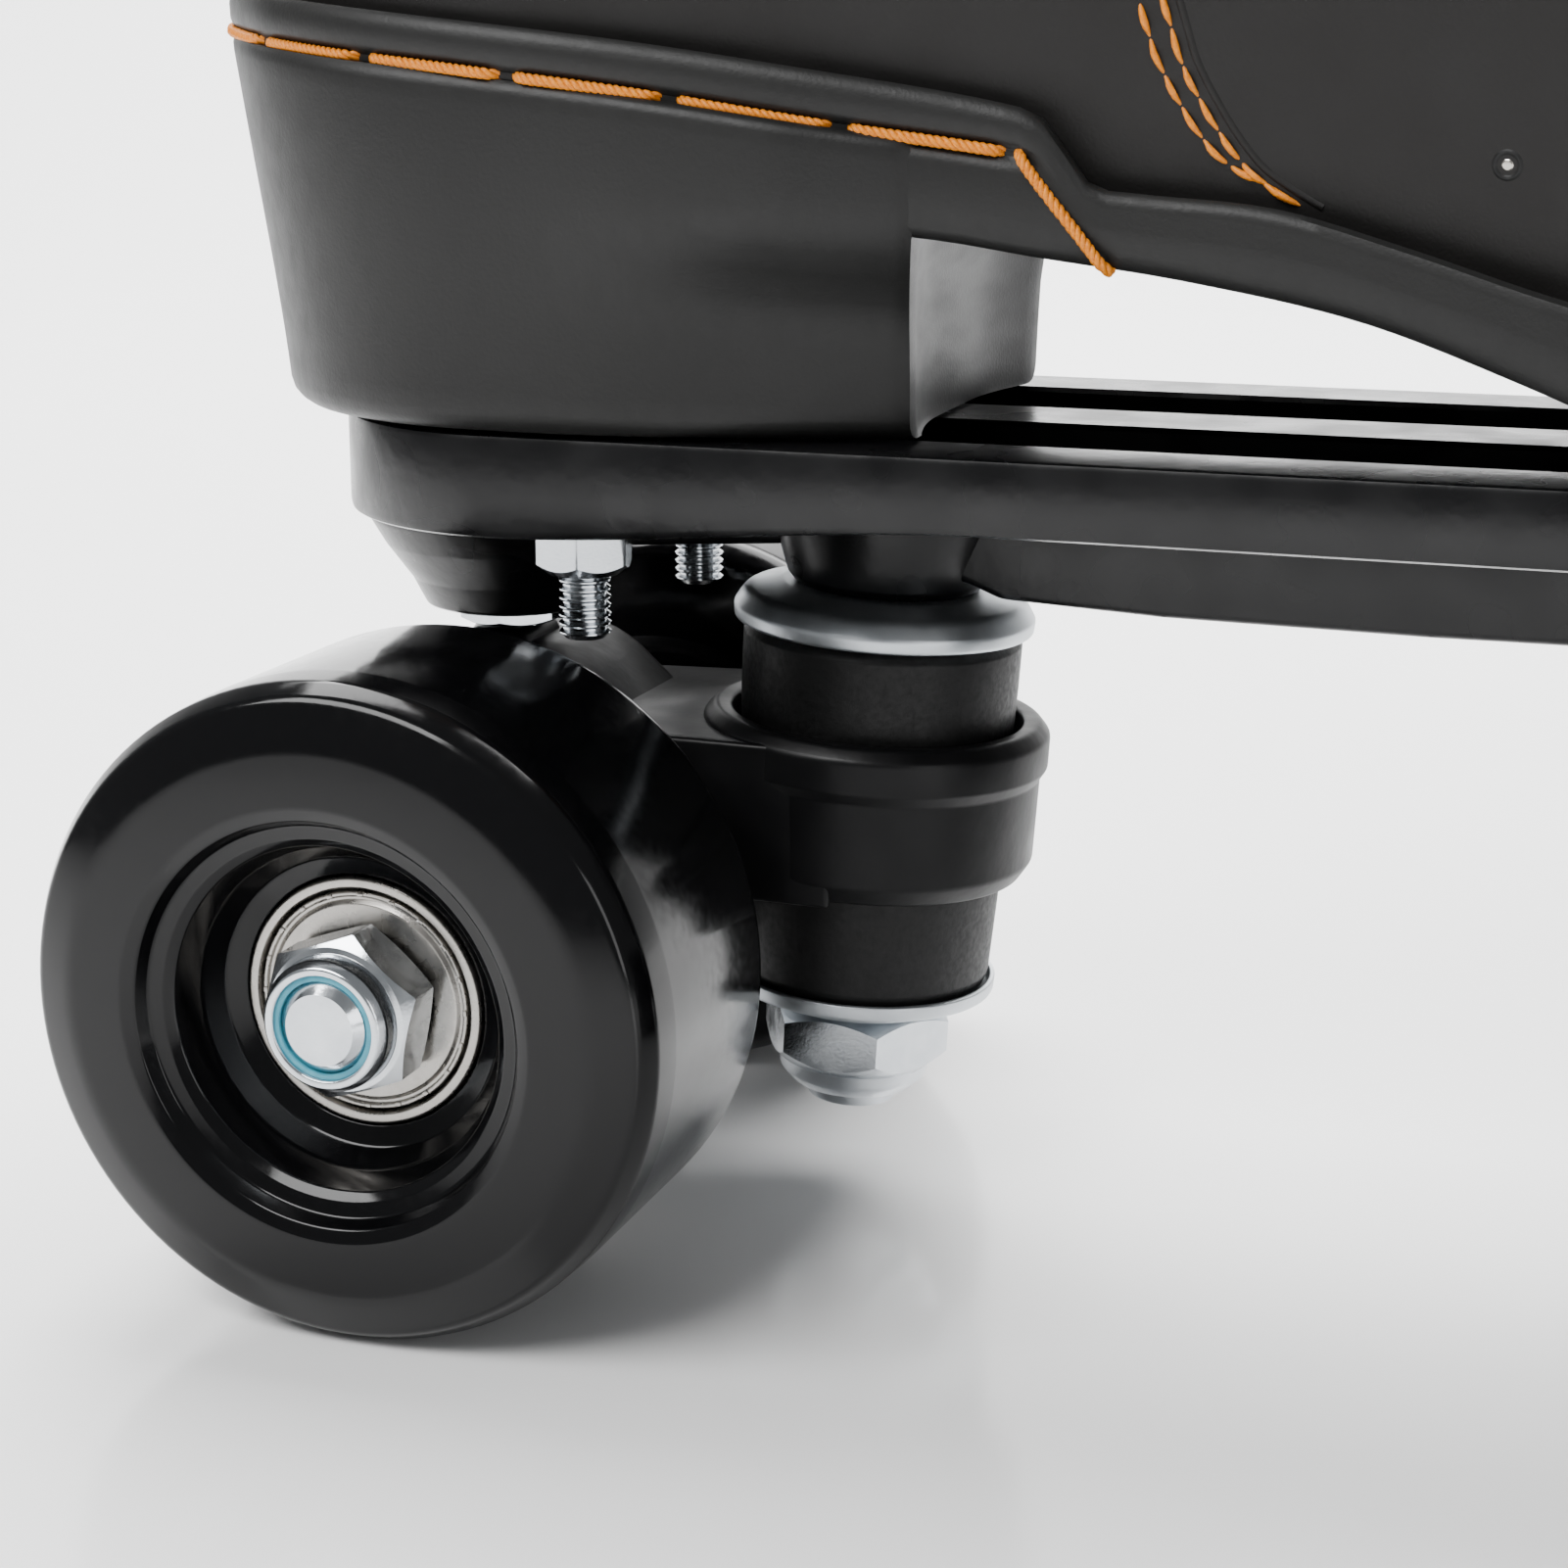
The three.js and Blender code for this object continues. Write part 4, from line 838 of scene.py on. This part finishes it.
ribs = {
    "feather": [(-134, 0), (-128.6, 17), (-106, 29.4), (-60, 26.4), (-15, 29.6), (45, 43), (95, 37.2),
                (124, 18.6), (133.8, 0)],
    "low": [(-136.8, 0, 131), (-130.5, 19, 130), (-105, 32.5, 128), (-60, 30.5, 121), (-15, 33.5, 111),
            (42, 46, 102), (96, 40, 102), (125.5, 21, 103), (136.6, 0, 104)],
    "middle": [(-134, 0, 166), (-126.5, 19, 165), (-100, 32, 161), (-60, 33.5, 154), (-15, 36, 136),
               (40, 41, 119), (90, 33.5, 118), (114, 18.5, 119), (124, 0, 120.5)],
    "high": [(-128.5, 0, 206), (-120.5, 19, 205), (-92, 32, 201), (-54, 32, 196), (-18, 28, 168),
             (22, 28, 143.5), (58, 22, 135), (77, 12, 133), (85, 0, 132.6)],
    "edge": [(-129.5, 0, 241), (-121, 20, 240), (-86, 32.5, 235), (-47, 21, 237), (-22, 15.5, 202),
             (8, 14.5, 168.5), (31, 12, 148), (42, 6.8, 140), (45.5, 0, 137.6)],
}
upper = {"shell": 3.2, "around": 208, "up": 56, "creases": 26, "wrinkles": 11}


def splinePoint(points, t, closed):
    count = len(points)
    p = (count if closed else count - 1) * t
    i = int(math.floor(p))
    w = p - i
    if not closed and i >= count - 1:
        i, w = count - 2, 1.0
    b, c = points[i % count], points[(i + 1) % count]
    a = points[(i - 1) % count] if closed or i > 0 else b * 2 - c
    d = points[(i + 2) % count] if closed or i + 2 < count else c * 2 - b
    squared, cubed = 2 * a - 5 * b + 4 * c - d, 3 * b - a - 3 * c + d
    return 0.5 * ((2 * b) + (c - a) * w + squared * w ** 2 + cubed * w ** 3)


def closedRib(half):
    full = [(p[0], p[1], p[2] if len(p) > 2 else 0) for p in half]
    one = [Vector((x, y + swing(x), z)) for x, y, z in full]
    other = [Vector((x, -y + swing(x), z)) for x, y, z in reversed(full[1:-1])]
    return one + other


ribCurves = [closedRib(ribs[name]) for name in ("feather", "low", "middle", "high", "edge")]


def seated(p):
    half = max(along(sole["half"], p.x) - 3.2, 0)
    y = min(max(p.y - swing(p.x), -half), half) + swing(p.x)
    return Vector((p.x, y, along(sole["floor"], p.x) + 0.8))


def upperPoint(u, v):
    knots = [splinePoint(curve, u % 1.0, True) for curve in ribCurves]
    knots[0] = seated(knots[0])
    return splinePoint(knots, v, False)


def upperNormal(u, v):
    e = 0.004
    du = upperPoint(u + e, v) - upperPoint(u - e, v)
    dv = upperPoint(u, min(v + e, 1)) - upperPoint(u, max(v - e, 0))
    return dv.cross(du).normalized()


def makeUpper():
    bm = bmesh.new()
    rows = []
    for i in range(upper["around"]):
        u = i / upper["around"]
        outside, inside = [], []
        for k in range(upper["up"] + 1):
            v = k / upper["up"]
            p, n = upperPoint(u, v), upperNormal(u, v)
            soft = 0.5 * noise.noise(p / upper["creases"])
            soft += 0.25 * noise.noise(p / upper["wrinkles"]) * smooth(0.3, 0.7, v)
            outside.append(p + n * soft * smooth(0.12, 0.3, v) * (1 - smooth(0.9, 1, v)) - n * 0.4)
            inside.append(p - n * upper["shell"])
        lipOut, lipIn = outside[-1], inside[-1]
        rise = Vector((0, 0, 0.8))
        rim = [lipOut.lerp(lipIn, 0.15) + rise * 0.7, lipOut.lerp(lipIn, 0.5) + rise,
               lipOut.lerp(lipIn, 0.85) + rise * 0.7]
        rows.append(outside + rim + inside[::-1])
    skinRows(bm, rows, rowsClosed=True)
    piece = makePiece("bootUpper", bm, leather, "boot_and_plate", ["boot_upper"], sharp=60)
    return BVHTree.FromObject(piece, bpy.context.evaluated_depsgraph_get())


def onUpper(tree, x, z, side):  # skin point and outward normal beside (x, z); side is -1 right, 1 left
    start = Vector((x, side * 90, z)) * mm
    hit, normal = tree.ray_cast(start, Vector((0, -side, 0)))[:2]
    if hit is None:
        return None
    return hit / mm, (normal if normal.y * side > 0 else -normal)


def evenlySpaced(points, spacing):  # points at equal steps along a line of Vectors
    line = []
    carry = 0.0
    for a, b in zip(points, points[1:]):
        length = (b - a).length
        while carry <= length and length > 0:
            line.append(a.lerp(b, carry / length))
            carry += spacing
        carry -= length
    return line


fineStitch = {"length": 2.6, "gap": 0.3, "radius": 0.3}


def sewnRow(bm, points, normals):  # short plump stitches sunk at each end
    stitch, radius = fineStitch["length"], fineStitch["radius"]
    step = stitch + fineStitch["gap"]
    fine = evenlySpaced(points, 0.25)
    lengths = [0.0]
    for a, b in zip(fine, fine[1:]):
        lengths.append(lengths[-1] + (b - a).length)
    start = 0.3
    while start + stitch < lengths[-1]:
        row, radii = [], []
        for k in range(7):
            t = k / 6
            at = start + stitch * t
            i = min(range(len(lengths)), key=lambda j: abs(lengths[j] - at))
            p = fine[i]
            near = min(range(len(points)), key=lambda j: (points[j] - p).length_squared)
            bulge = math.sin(math.pi * t)
            row.append(p + normals[near] * (radius * (1.1 * bulge - 0.35)))
            radii.append(radius * (0.45 + 0.55 * bulge))
        sweep(bm, row, radii, 6)
        start += step


def surfaceRow(tree, path, side):  # an (x, z) path laid on one side of the upper
    flat = [Vector((x, 0, z)) for x, z in path]
    count = 40
    curve = [splinePoint(flat, k / count, False) for k in range(count + 1)]
    points, normals = [], []
    for p in curve:
        found = onUpper(tree, p.x, p.z, side)
        if found:
            points.append(found[0])
            normals.append(found[1])
    return points, normals


upperSeams = {
    "counterInner": [(-58, 150), (-52, 130), (-45.8, 110.3), (-44.7, 107), (-42.9, 103.6), (-40.8, 100.6),
                     (-38.7, 98.8), (-36, 97.5), (-33.3, 95.6), (-31.9, 94.7)],
    "counterOuter": [(-55.6, 151), (-49.8, 130), (-43.8, 110.1), (-42.7, 106.6), (-41, 103.4), (-39.3, 100.8),
                     (-37.4, 98.6), (-35.1, 97), (-32.8, 95.7)],
    "counterTopInner": [(-58, 150), (-66, 160), (-84, 166), (-104, 168), (-121, 169)],
    "counterTopOuter": [(-55.6, 151), (-64, 162.6), (-83, 168.6), (-104, 170.6), (-121, 171.6)],
    "toeCapInner": [(70, 126), (66, 116), (60, 104), (54, 92)],
    "toeCapOuter": [(72.6, 125), (68.8, 115.4), (62.8, 103.4), (56.8, 91.4)],
    "backstayInner": [(-125.5, 117), (-125, 135), (-122.5, 160), (-119.5, 185), (-117.5, 210), (-117, 234)],
    "backstayOuter": [(-127.7, 117), (-127.2, 135), (-124.7, 160), (-121.7, 185), (-119.7, 210), (-119.2, 234)],
    "facingLower": [(58, 122), (34, 131), (14, 146), (-8, 170), (-32, 206), (-40, 226)],
}


overlayEdges = [("counterOuter", 1.2, 0.2), ("counterTopOuter", 0.4, 1.2), ("toeCapInner", -1.3, 0)]


def makeUpperStitching(tree):
    bm = bmesh.new()
    for path in upperSeams.values():
        for side in (-1, 1):
            points, normals = surfaceRow(tree, path, side)
            if len(points) > 3:
                sewnRow(bm, points, normals)
    makePiece("upperStitching", bm, thread, "boot_and_plate", sharp=60)
    edge = bmesh.new()
    for side in (-1, 1):
        for name, shift, rise in overlayEdges:
            points, normals = surfaceRow(tree, [(x + shift, z + rise) for x, z in upperSeams[name]], side)
            if len(points) > 3:
                sweep(edge, [p - n * 0.3 for p, n in zip(points, normals)], 0.45, 8)
    makePiece("upperOverlayEdges", edge, leather, "boot_and_plate", sharp=60)


def orient(p, n):  # places a Z-up part on a skin point, facing out
    return Matrix.Translation(p * mm) @ n.to_track_quat("Z", "Y").to_matrix().to_4x4()


ventSpots = [(-17.6, 99.5), (-5.5, 98.0)]


def makeVents(tree):
    bm = bmesh.new()
    for side in (-1, 1):
        for x, z in ventSpots:
            found = onUpper(tree, x, z, side)
            dome = [(0, 0.12), (0.35, 0.08, 0.2), (0.7, -0.2, 0.2), (0.7, -0.9), (0, -0.9)]
            merge(bm, spun(dome, False, 32), orient(*found), 0)
            # painted shade: the rim round each dome is black rubber, a dark ring standing for the shade in the
            # vent's dimple
            rim = [(0.72, -0.8), (0.75, 0.0, 0.1), (1.0, 0.12, 0.15), (1.35, -0.1, 0.2), (1.4, -0.8)]
            merge(bm, spun(rim, True, 40), orient(*found), 1)
    makePiece("ventEyelets", bm, [nickel, cushionRubber], "boot_and_plate")


eyelets = {"pairs": 7, "start": 3.35, "step": 0.44}


def makeEyelets():
    bm = bmesh.new()
    for side in (1, -1):
        for k in range(eyelets["pairs"]):
            u = (eyelets["start"] + eyelets["step"] * k) / len(ribCurves[0])
            u, v = (u if side > 0 else 1 - u), 0.955 - 0.006 * k
            p, n = upperPoint(u, v), upperNormal(u, v)
            ring = [(1.7, -3.6), (1.75, 0.0, 0.3), (2.3, 0.65, 0.4), (3.2, 0.15, 0.3), (3.3, -0.5)]
            merge(bm, spun(ring, True, 48), orient(p, n))
    makePiece("laceEyelets", bm, nickel, "boot_and_plate")


binding = {"width": 2.1, "height": 1.9, "steps": 240}


def makeRimBinding():
    bm = bmesh.new()
    count = binding["steps"]
    points = []
    for i in range(count):
        u = i / count
        points.append(upperPoint(u, 1.0) - upperNormal(u, 1.0) * upper["shell"] / 2 + Vector((0, 0, 0.4)))
    rows = []
    for i, p in enumerate(points):
        ahead = (points[(i + 1) % count] - points[i - 1]).normalized()
        side = upperNormal(i / count, 1.0)
        other = ahead.cross(side).normalized()
        rows.append([p + side * binding["width"] * math.cos(a) + other * binding["height"] * math.sin(a)
                     for a in (2 * math.pi * k / 12 for k in range(12))])
    skinRows(bm, rows, rowsClosed=True)
    makePiece("collarBinding", bm, leather, "boot_and_plate", sharp=60)


tongue = {"line": [(60, 126.5), (44.5, 131), (27, 142.5), (5.6, 164), (-25.5, 199), (-49.5, 234), (-57, 252)],
          "steps": 60, "curl": 20.0, "thick": 4.6}


def makeTongue():
    path = [Vector((x, 0, z)) for x, z in tongue["line"]]
    steps, curl, thick = tongue["steps"], tongue["curl"], tongue["thick"]
    bm = bmesh.new()
    rows = []
    for i in range(steps + 1):
        t = i / steps
        centre = splinePoint(path, t, False)
        tangent = splinePoint(path, min(t + 0.01, 1), False) - splinePoint(path, max(t - 0.01, 0), False)
        tangent.normalize()
        normal = Vector((tangent.z, 0, -tangent.x)).normalized()
        if normal.z < 0:
            normal = -normal
        half = 15 + 5.5 * min(t * 2, 1)
        half *= 1 - 0.35 * smooth(0.94, 1.0, t) ** 2
        pad = 1 - 0.75 * smooth(0.96, 1.0, t)
        channel = 0.9 * math.exp(-((t * 10 - round(t * 10)) / 0.16) ** 2) * smooth(0.25, 0.35, t)
        row = []
        for k in range(33):  # top skin, side to side
            f = -1 + 2 * k / 32
            y = f * half
            crown = 1.5 * (1 - f * f) ** 0.5 if abs(f) < 1 else 0
            p = centre + normal * (-y * y / (2 * curl) + (crown - 1.6 - channel * (1 - f ** 4)) * pad)
            row.append(p + Vector((0, y + swing(centre.x), 0)))
        for k in range(33):
            f = 1 - 2 * k / 32
            y = f * (half - 0.7)
            belly = thick - 1.0 + 0.6 * (1 - f * f)
            p = centre + normal * (-y * y / (2 * curl) - belly * pad - 0.6)
            row.append(p + Vector((0, y + swing(centre.x), 0)))
        rows.append(row)
    skinRows(bm, rows, capEnds=True)
    piece = makePiece("paddedTongue", bm, leather, "boot_and_plate", ["tongue"], sharp=60)


collar = {"reach": 0.3, "steps": 96, "radius": 4.6}


def makeCollarPadding():
    reach, steps, r = collar["reach"], collar["steps"], collar["radius"]
    bm = bmesh.new()
    rows = []
    for i in range(steps + 1):
        u = 1 - reach / 2 + i / steps * reach
        normal = upperNormal(u, 0.955)
        centre = upperPoint(u, 0.955) - normal * (upper["shell"] + r + 0.9)
        end = min(1.0, math.sqrt(min(i, steps - i) / 5 + 0.08))
        tuck = 1 - 0.16 * math.exp(-((i / 12 - round(i / 12)) / 0.07) ** 2)
        size = r * end * tuck
        rows.append([centre + normal * size * math.cos(a) + Vector((0, 0, size * 1.5 * math.sin(a)))
                     for a in (2 * math.pi * k / 20 for k in range(20))])
    skinRows(bm, rows, capEnds=True)
    piece = makePiece("collarPadding", bm, lining, "boot_and_plate", ["collar_padding"],
                      sharp=70)


welt = {"radius": 0.27, "lay": 0.24, "twist": 1.9, "plies": 3, "length": 13.2, "gap": 1.3,
        "back": -137.3, "front": -55.8,
        "lastStitch": [(-55.5, 99.9), (-53.1, 96.9), (-50.3, 93.6), (-47.8, 90.6)]}


def ropeStitch(bm, line, outward):  # twisted plies that rise from one needle hole and sink into the next
    total = sum((b - a).length for a, b in zip(line, line[1:]))
    count = max(24, int(total / welt["twist"] * 10))
    for ply in range(welt["plies"]):
        points, radii = [], []
        for k in range(count + 1):
            t = k / count
            p = splinePoint(line, t, False)
            ahead = splinePoint(line, min(t + 0.02, 1), False) - splinePoint(line, max(t - 0.02, 0), False)
            side = ahead.normalized().cross(outward).normalized()
            angle = 2 * math.pi * (t * total / welt["twist"] + ply / welt["plies"])
            sink = 1.3 * (1 - min(1.0, min(t, 1 - t) * total / 1.4)) ** 2
            offset = welt["lay"] * math.cos(angle), welt["lay"] * math.sin(angle)
            points.append(p + outward * (offset[0] - sink) + side * offset[1])
            radii.append(welt["radius"])
        sweep(bm, points, radii, 6)


def weltPoint(x, side):
    w = along(sole["half"], x)
    return Vector((x, side * (w - 0.15), along(sole["stitch"], x)))


def makeWeltStitching():
    bm = bmesh.new()
    stations = spread(welt["back"], welt["front"], 200)
    samples = [weltPoint(x, -1) for x in reversed(stations)] + [weltPoint(x, 1) for x in stations]
    lengths = [0.0]
    for a, b in zip(samples, samples[1:]):
        lengths.append(lengths[-1] + (b - a).length)
    count = round(lengths[-1] / (welt["length"] + welt["gap"]))
    step = lengths[-1] / count

    def at(distance):
        for i in range(1, len(samples)):
            if lengths[i] >= distance:
                t = (distance - lengths[i - 1]) / max(lengths[i] - lengths[i - 1], 1e-6)
                return samples[i - 1].lerp(samples[i], t)
        return samples[-1]

    for k in range(count):
        start, end = k * step + welt["gap"] / 2, (k + 1) * step - welt["gap"] / 2
        line = [at(start + (end - start) * j / 6) for j in range(7)]
        middle = at((start + end) / 2)
        ahead = (line[-1] - line[0]).normalized()
        outward = ahead.cross(Vector((0, 0, 1)))
        if outward.dot(middle - Vector((-95, 0, middle.z))) < 0:
            outward = -outward
        ropeStitch(bm, line, outward.normalized())
    for side in (-1, 1):  # the last stitch slants down across the waist
        line = [Vector((x, side * (along(sole["half"], x) + 0.25), z)) for x, z in welt["lastStitch"]]
        ropeStitch(bm, line, Vector((0, side, 0)))
    makePiece("weltStitching", bm, thread, "boot_and_plate", sharp=70)


for end in ("rear", "front"):
    for side in ("left", "right"):
        makeWheel(end, side)
        makeBearing(end, side, "outer")
        makeBearing(end, side, "inner")
        makeAxleNut(end, side)
    makeAxle(end)
    makeHanger(end)
    makeKingpinStack(end)
    makePivot(end)
    makeBolts(end)
print("trucks and wheels built")
makeBaseplate()
makeToeStop()
print("plate and toe stop built")
makeOutsole()
makeInsole()
makeWeltStitching()
print("sole built")
skin = makeUpper()
makeUpperStitching(skin)
makeVents(skin)
makeEyelets()
makeRimBinding()
makeTongue()
makeCollarPadding()
print("boot built")


studio = {"floor": "#f3f3f3", "air": "#eef0f2", "airPower": 0.33, "floorRoughness": 0.13, "coveStart": 0.9,
          "coveRadius": 1.0, "turn": 19.5}


def makeStudio():
    material, tree, place = startMaterial("lacqueredBoard")  # white lacquered board: faint soft reflection
    cloud = addNode(tree, "TexNoise", {"Scale": perMetre(120), "Detail": 1.0}, {"Vector": place})
    rough = addNode(tree, "MapRange", {3: studio["floorRoughness"], 4: studio["floorRoughness"] + 0.04},
                    {"Value": cloud.outputs["Fac"]})
    shader = addNode(tree, "BsdfPrincipled", {"Base Color": linear(studio["floor"])},
                     {"Roughness": rough.outputs["Result"]})
    finishMaterial(tree, shader)
    start, radius = studio["coveStart"], studio["coveRadius"]
    curve = [(-3.0, 0.0), (start, 0.0)]
    curve += [(start + radius * math.sin(a), radius * (1 - math.cos(a)))
              for a in (math.pi / 2 * k / 32 for k in range(1, 33))]
    curve.append((start + radius, 4.0))
    bm = bmesh.new()
    rows = [[bm.verts.new((x, y, z)) for y, z in curve] for x in (-4.0, 4.0)]
    for k in range(len(curve) - 1):
        bm.faces.new((rows[0][k], rows[1][k], rows[1][k + 1], rows[0][k + 1]))
    facing = Matrix.Rotation(math.radians(studio["turn"]), 3, "Z")
    bmesh.ops.rotate(bm, verts=bm.verts, cent=(0, 0, 0), matrix=facing)
    mesh = bpy.data.meshes.new("studioFloor")
    bm.to_mesh(mesh)
    bm.free()
    mesh.shade_smooth()
    mesh.materials.append(material)
    floor = bpy.data.objects.new("studioFloor", mesh)
    bpy.context.scene.collection.objects.link(floor)

    world = bpy.data.worlds.new("studioAir")
    world.use_nodes = True
    world.node_tree.nodes["Background"].inputs["Color"].default_value = linear(studio["air"])
    world.node_tree.nodes["Background"].inputs["Strength"].default_value = studio["airPower"]
    bpy.context.scene.world = world

    def softbox(name, place, aim, size, power):
        data = bpy.data.lights.new(name, "AREA")
        data.shape = "RECTANGLE"
        data.size, data.size_y = size
        data.energy = power
        lamp = bpy.data.objects.new(name, data)
        lamp.location = place
        lamp.rotation_euler = (Vector(aim) - Vector(place)).to_track_quat("-Z", "Y").to_euler()
        bpy.context.scene.collection.objects.link(lamp)

    softbox("keyBox", (-0.45, -0.65, 0.85), (-0.08, 0, 0.06), (0.8, 0.45), 17.0)
    softbox("topBox", (-0.1, 0.7, 1.4), (-0.1, 0.35, 0.0), (1.8, 1.2), 92.0)
    softbox("coveBox", (-0.4, 1.0, 1.6), (-0.6, 1.8, 0.4), (1.8, 0.8), 32.0)
    softbox("fillBox", (0.8, -0.6, 0.3), (-0.08, 0, 0.05), (0.3, 0.5), 2.0)


camera = {"lens": 68.65, "sensor": 36.0, "place": (7.37, -261.53, 110.77), "tip": 75.45, "turn": 19.52}


def makeCamera():
    data = bpy.data.cameras.new("viewpoint")
    data.sensor_width = camera["sensor"]
    data.lens = camera["lens"]
    data.clip_start, data.clip_end = 0.01, 20.0
    viewpoint = bpy.data.objects.new("viewpoint", data)
    viewpoint.location = Vector(camera["place"]) * mm
    viewpoint.rotation_euler = (math.radians(camera["tip"]), 0, math.radians(camera["turn"]))
    bpy.context.scene.collection.objects.link(viewpoint)
    bpy.context.scene.camera = viewpoint


makeStudio()
makeCamera()
print("studio ready")
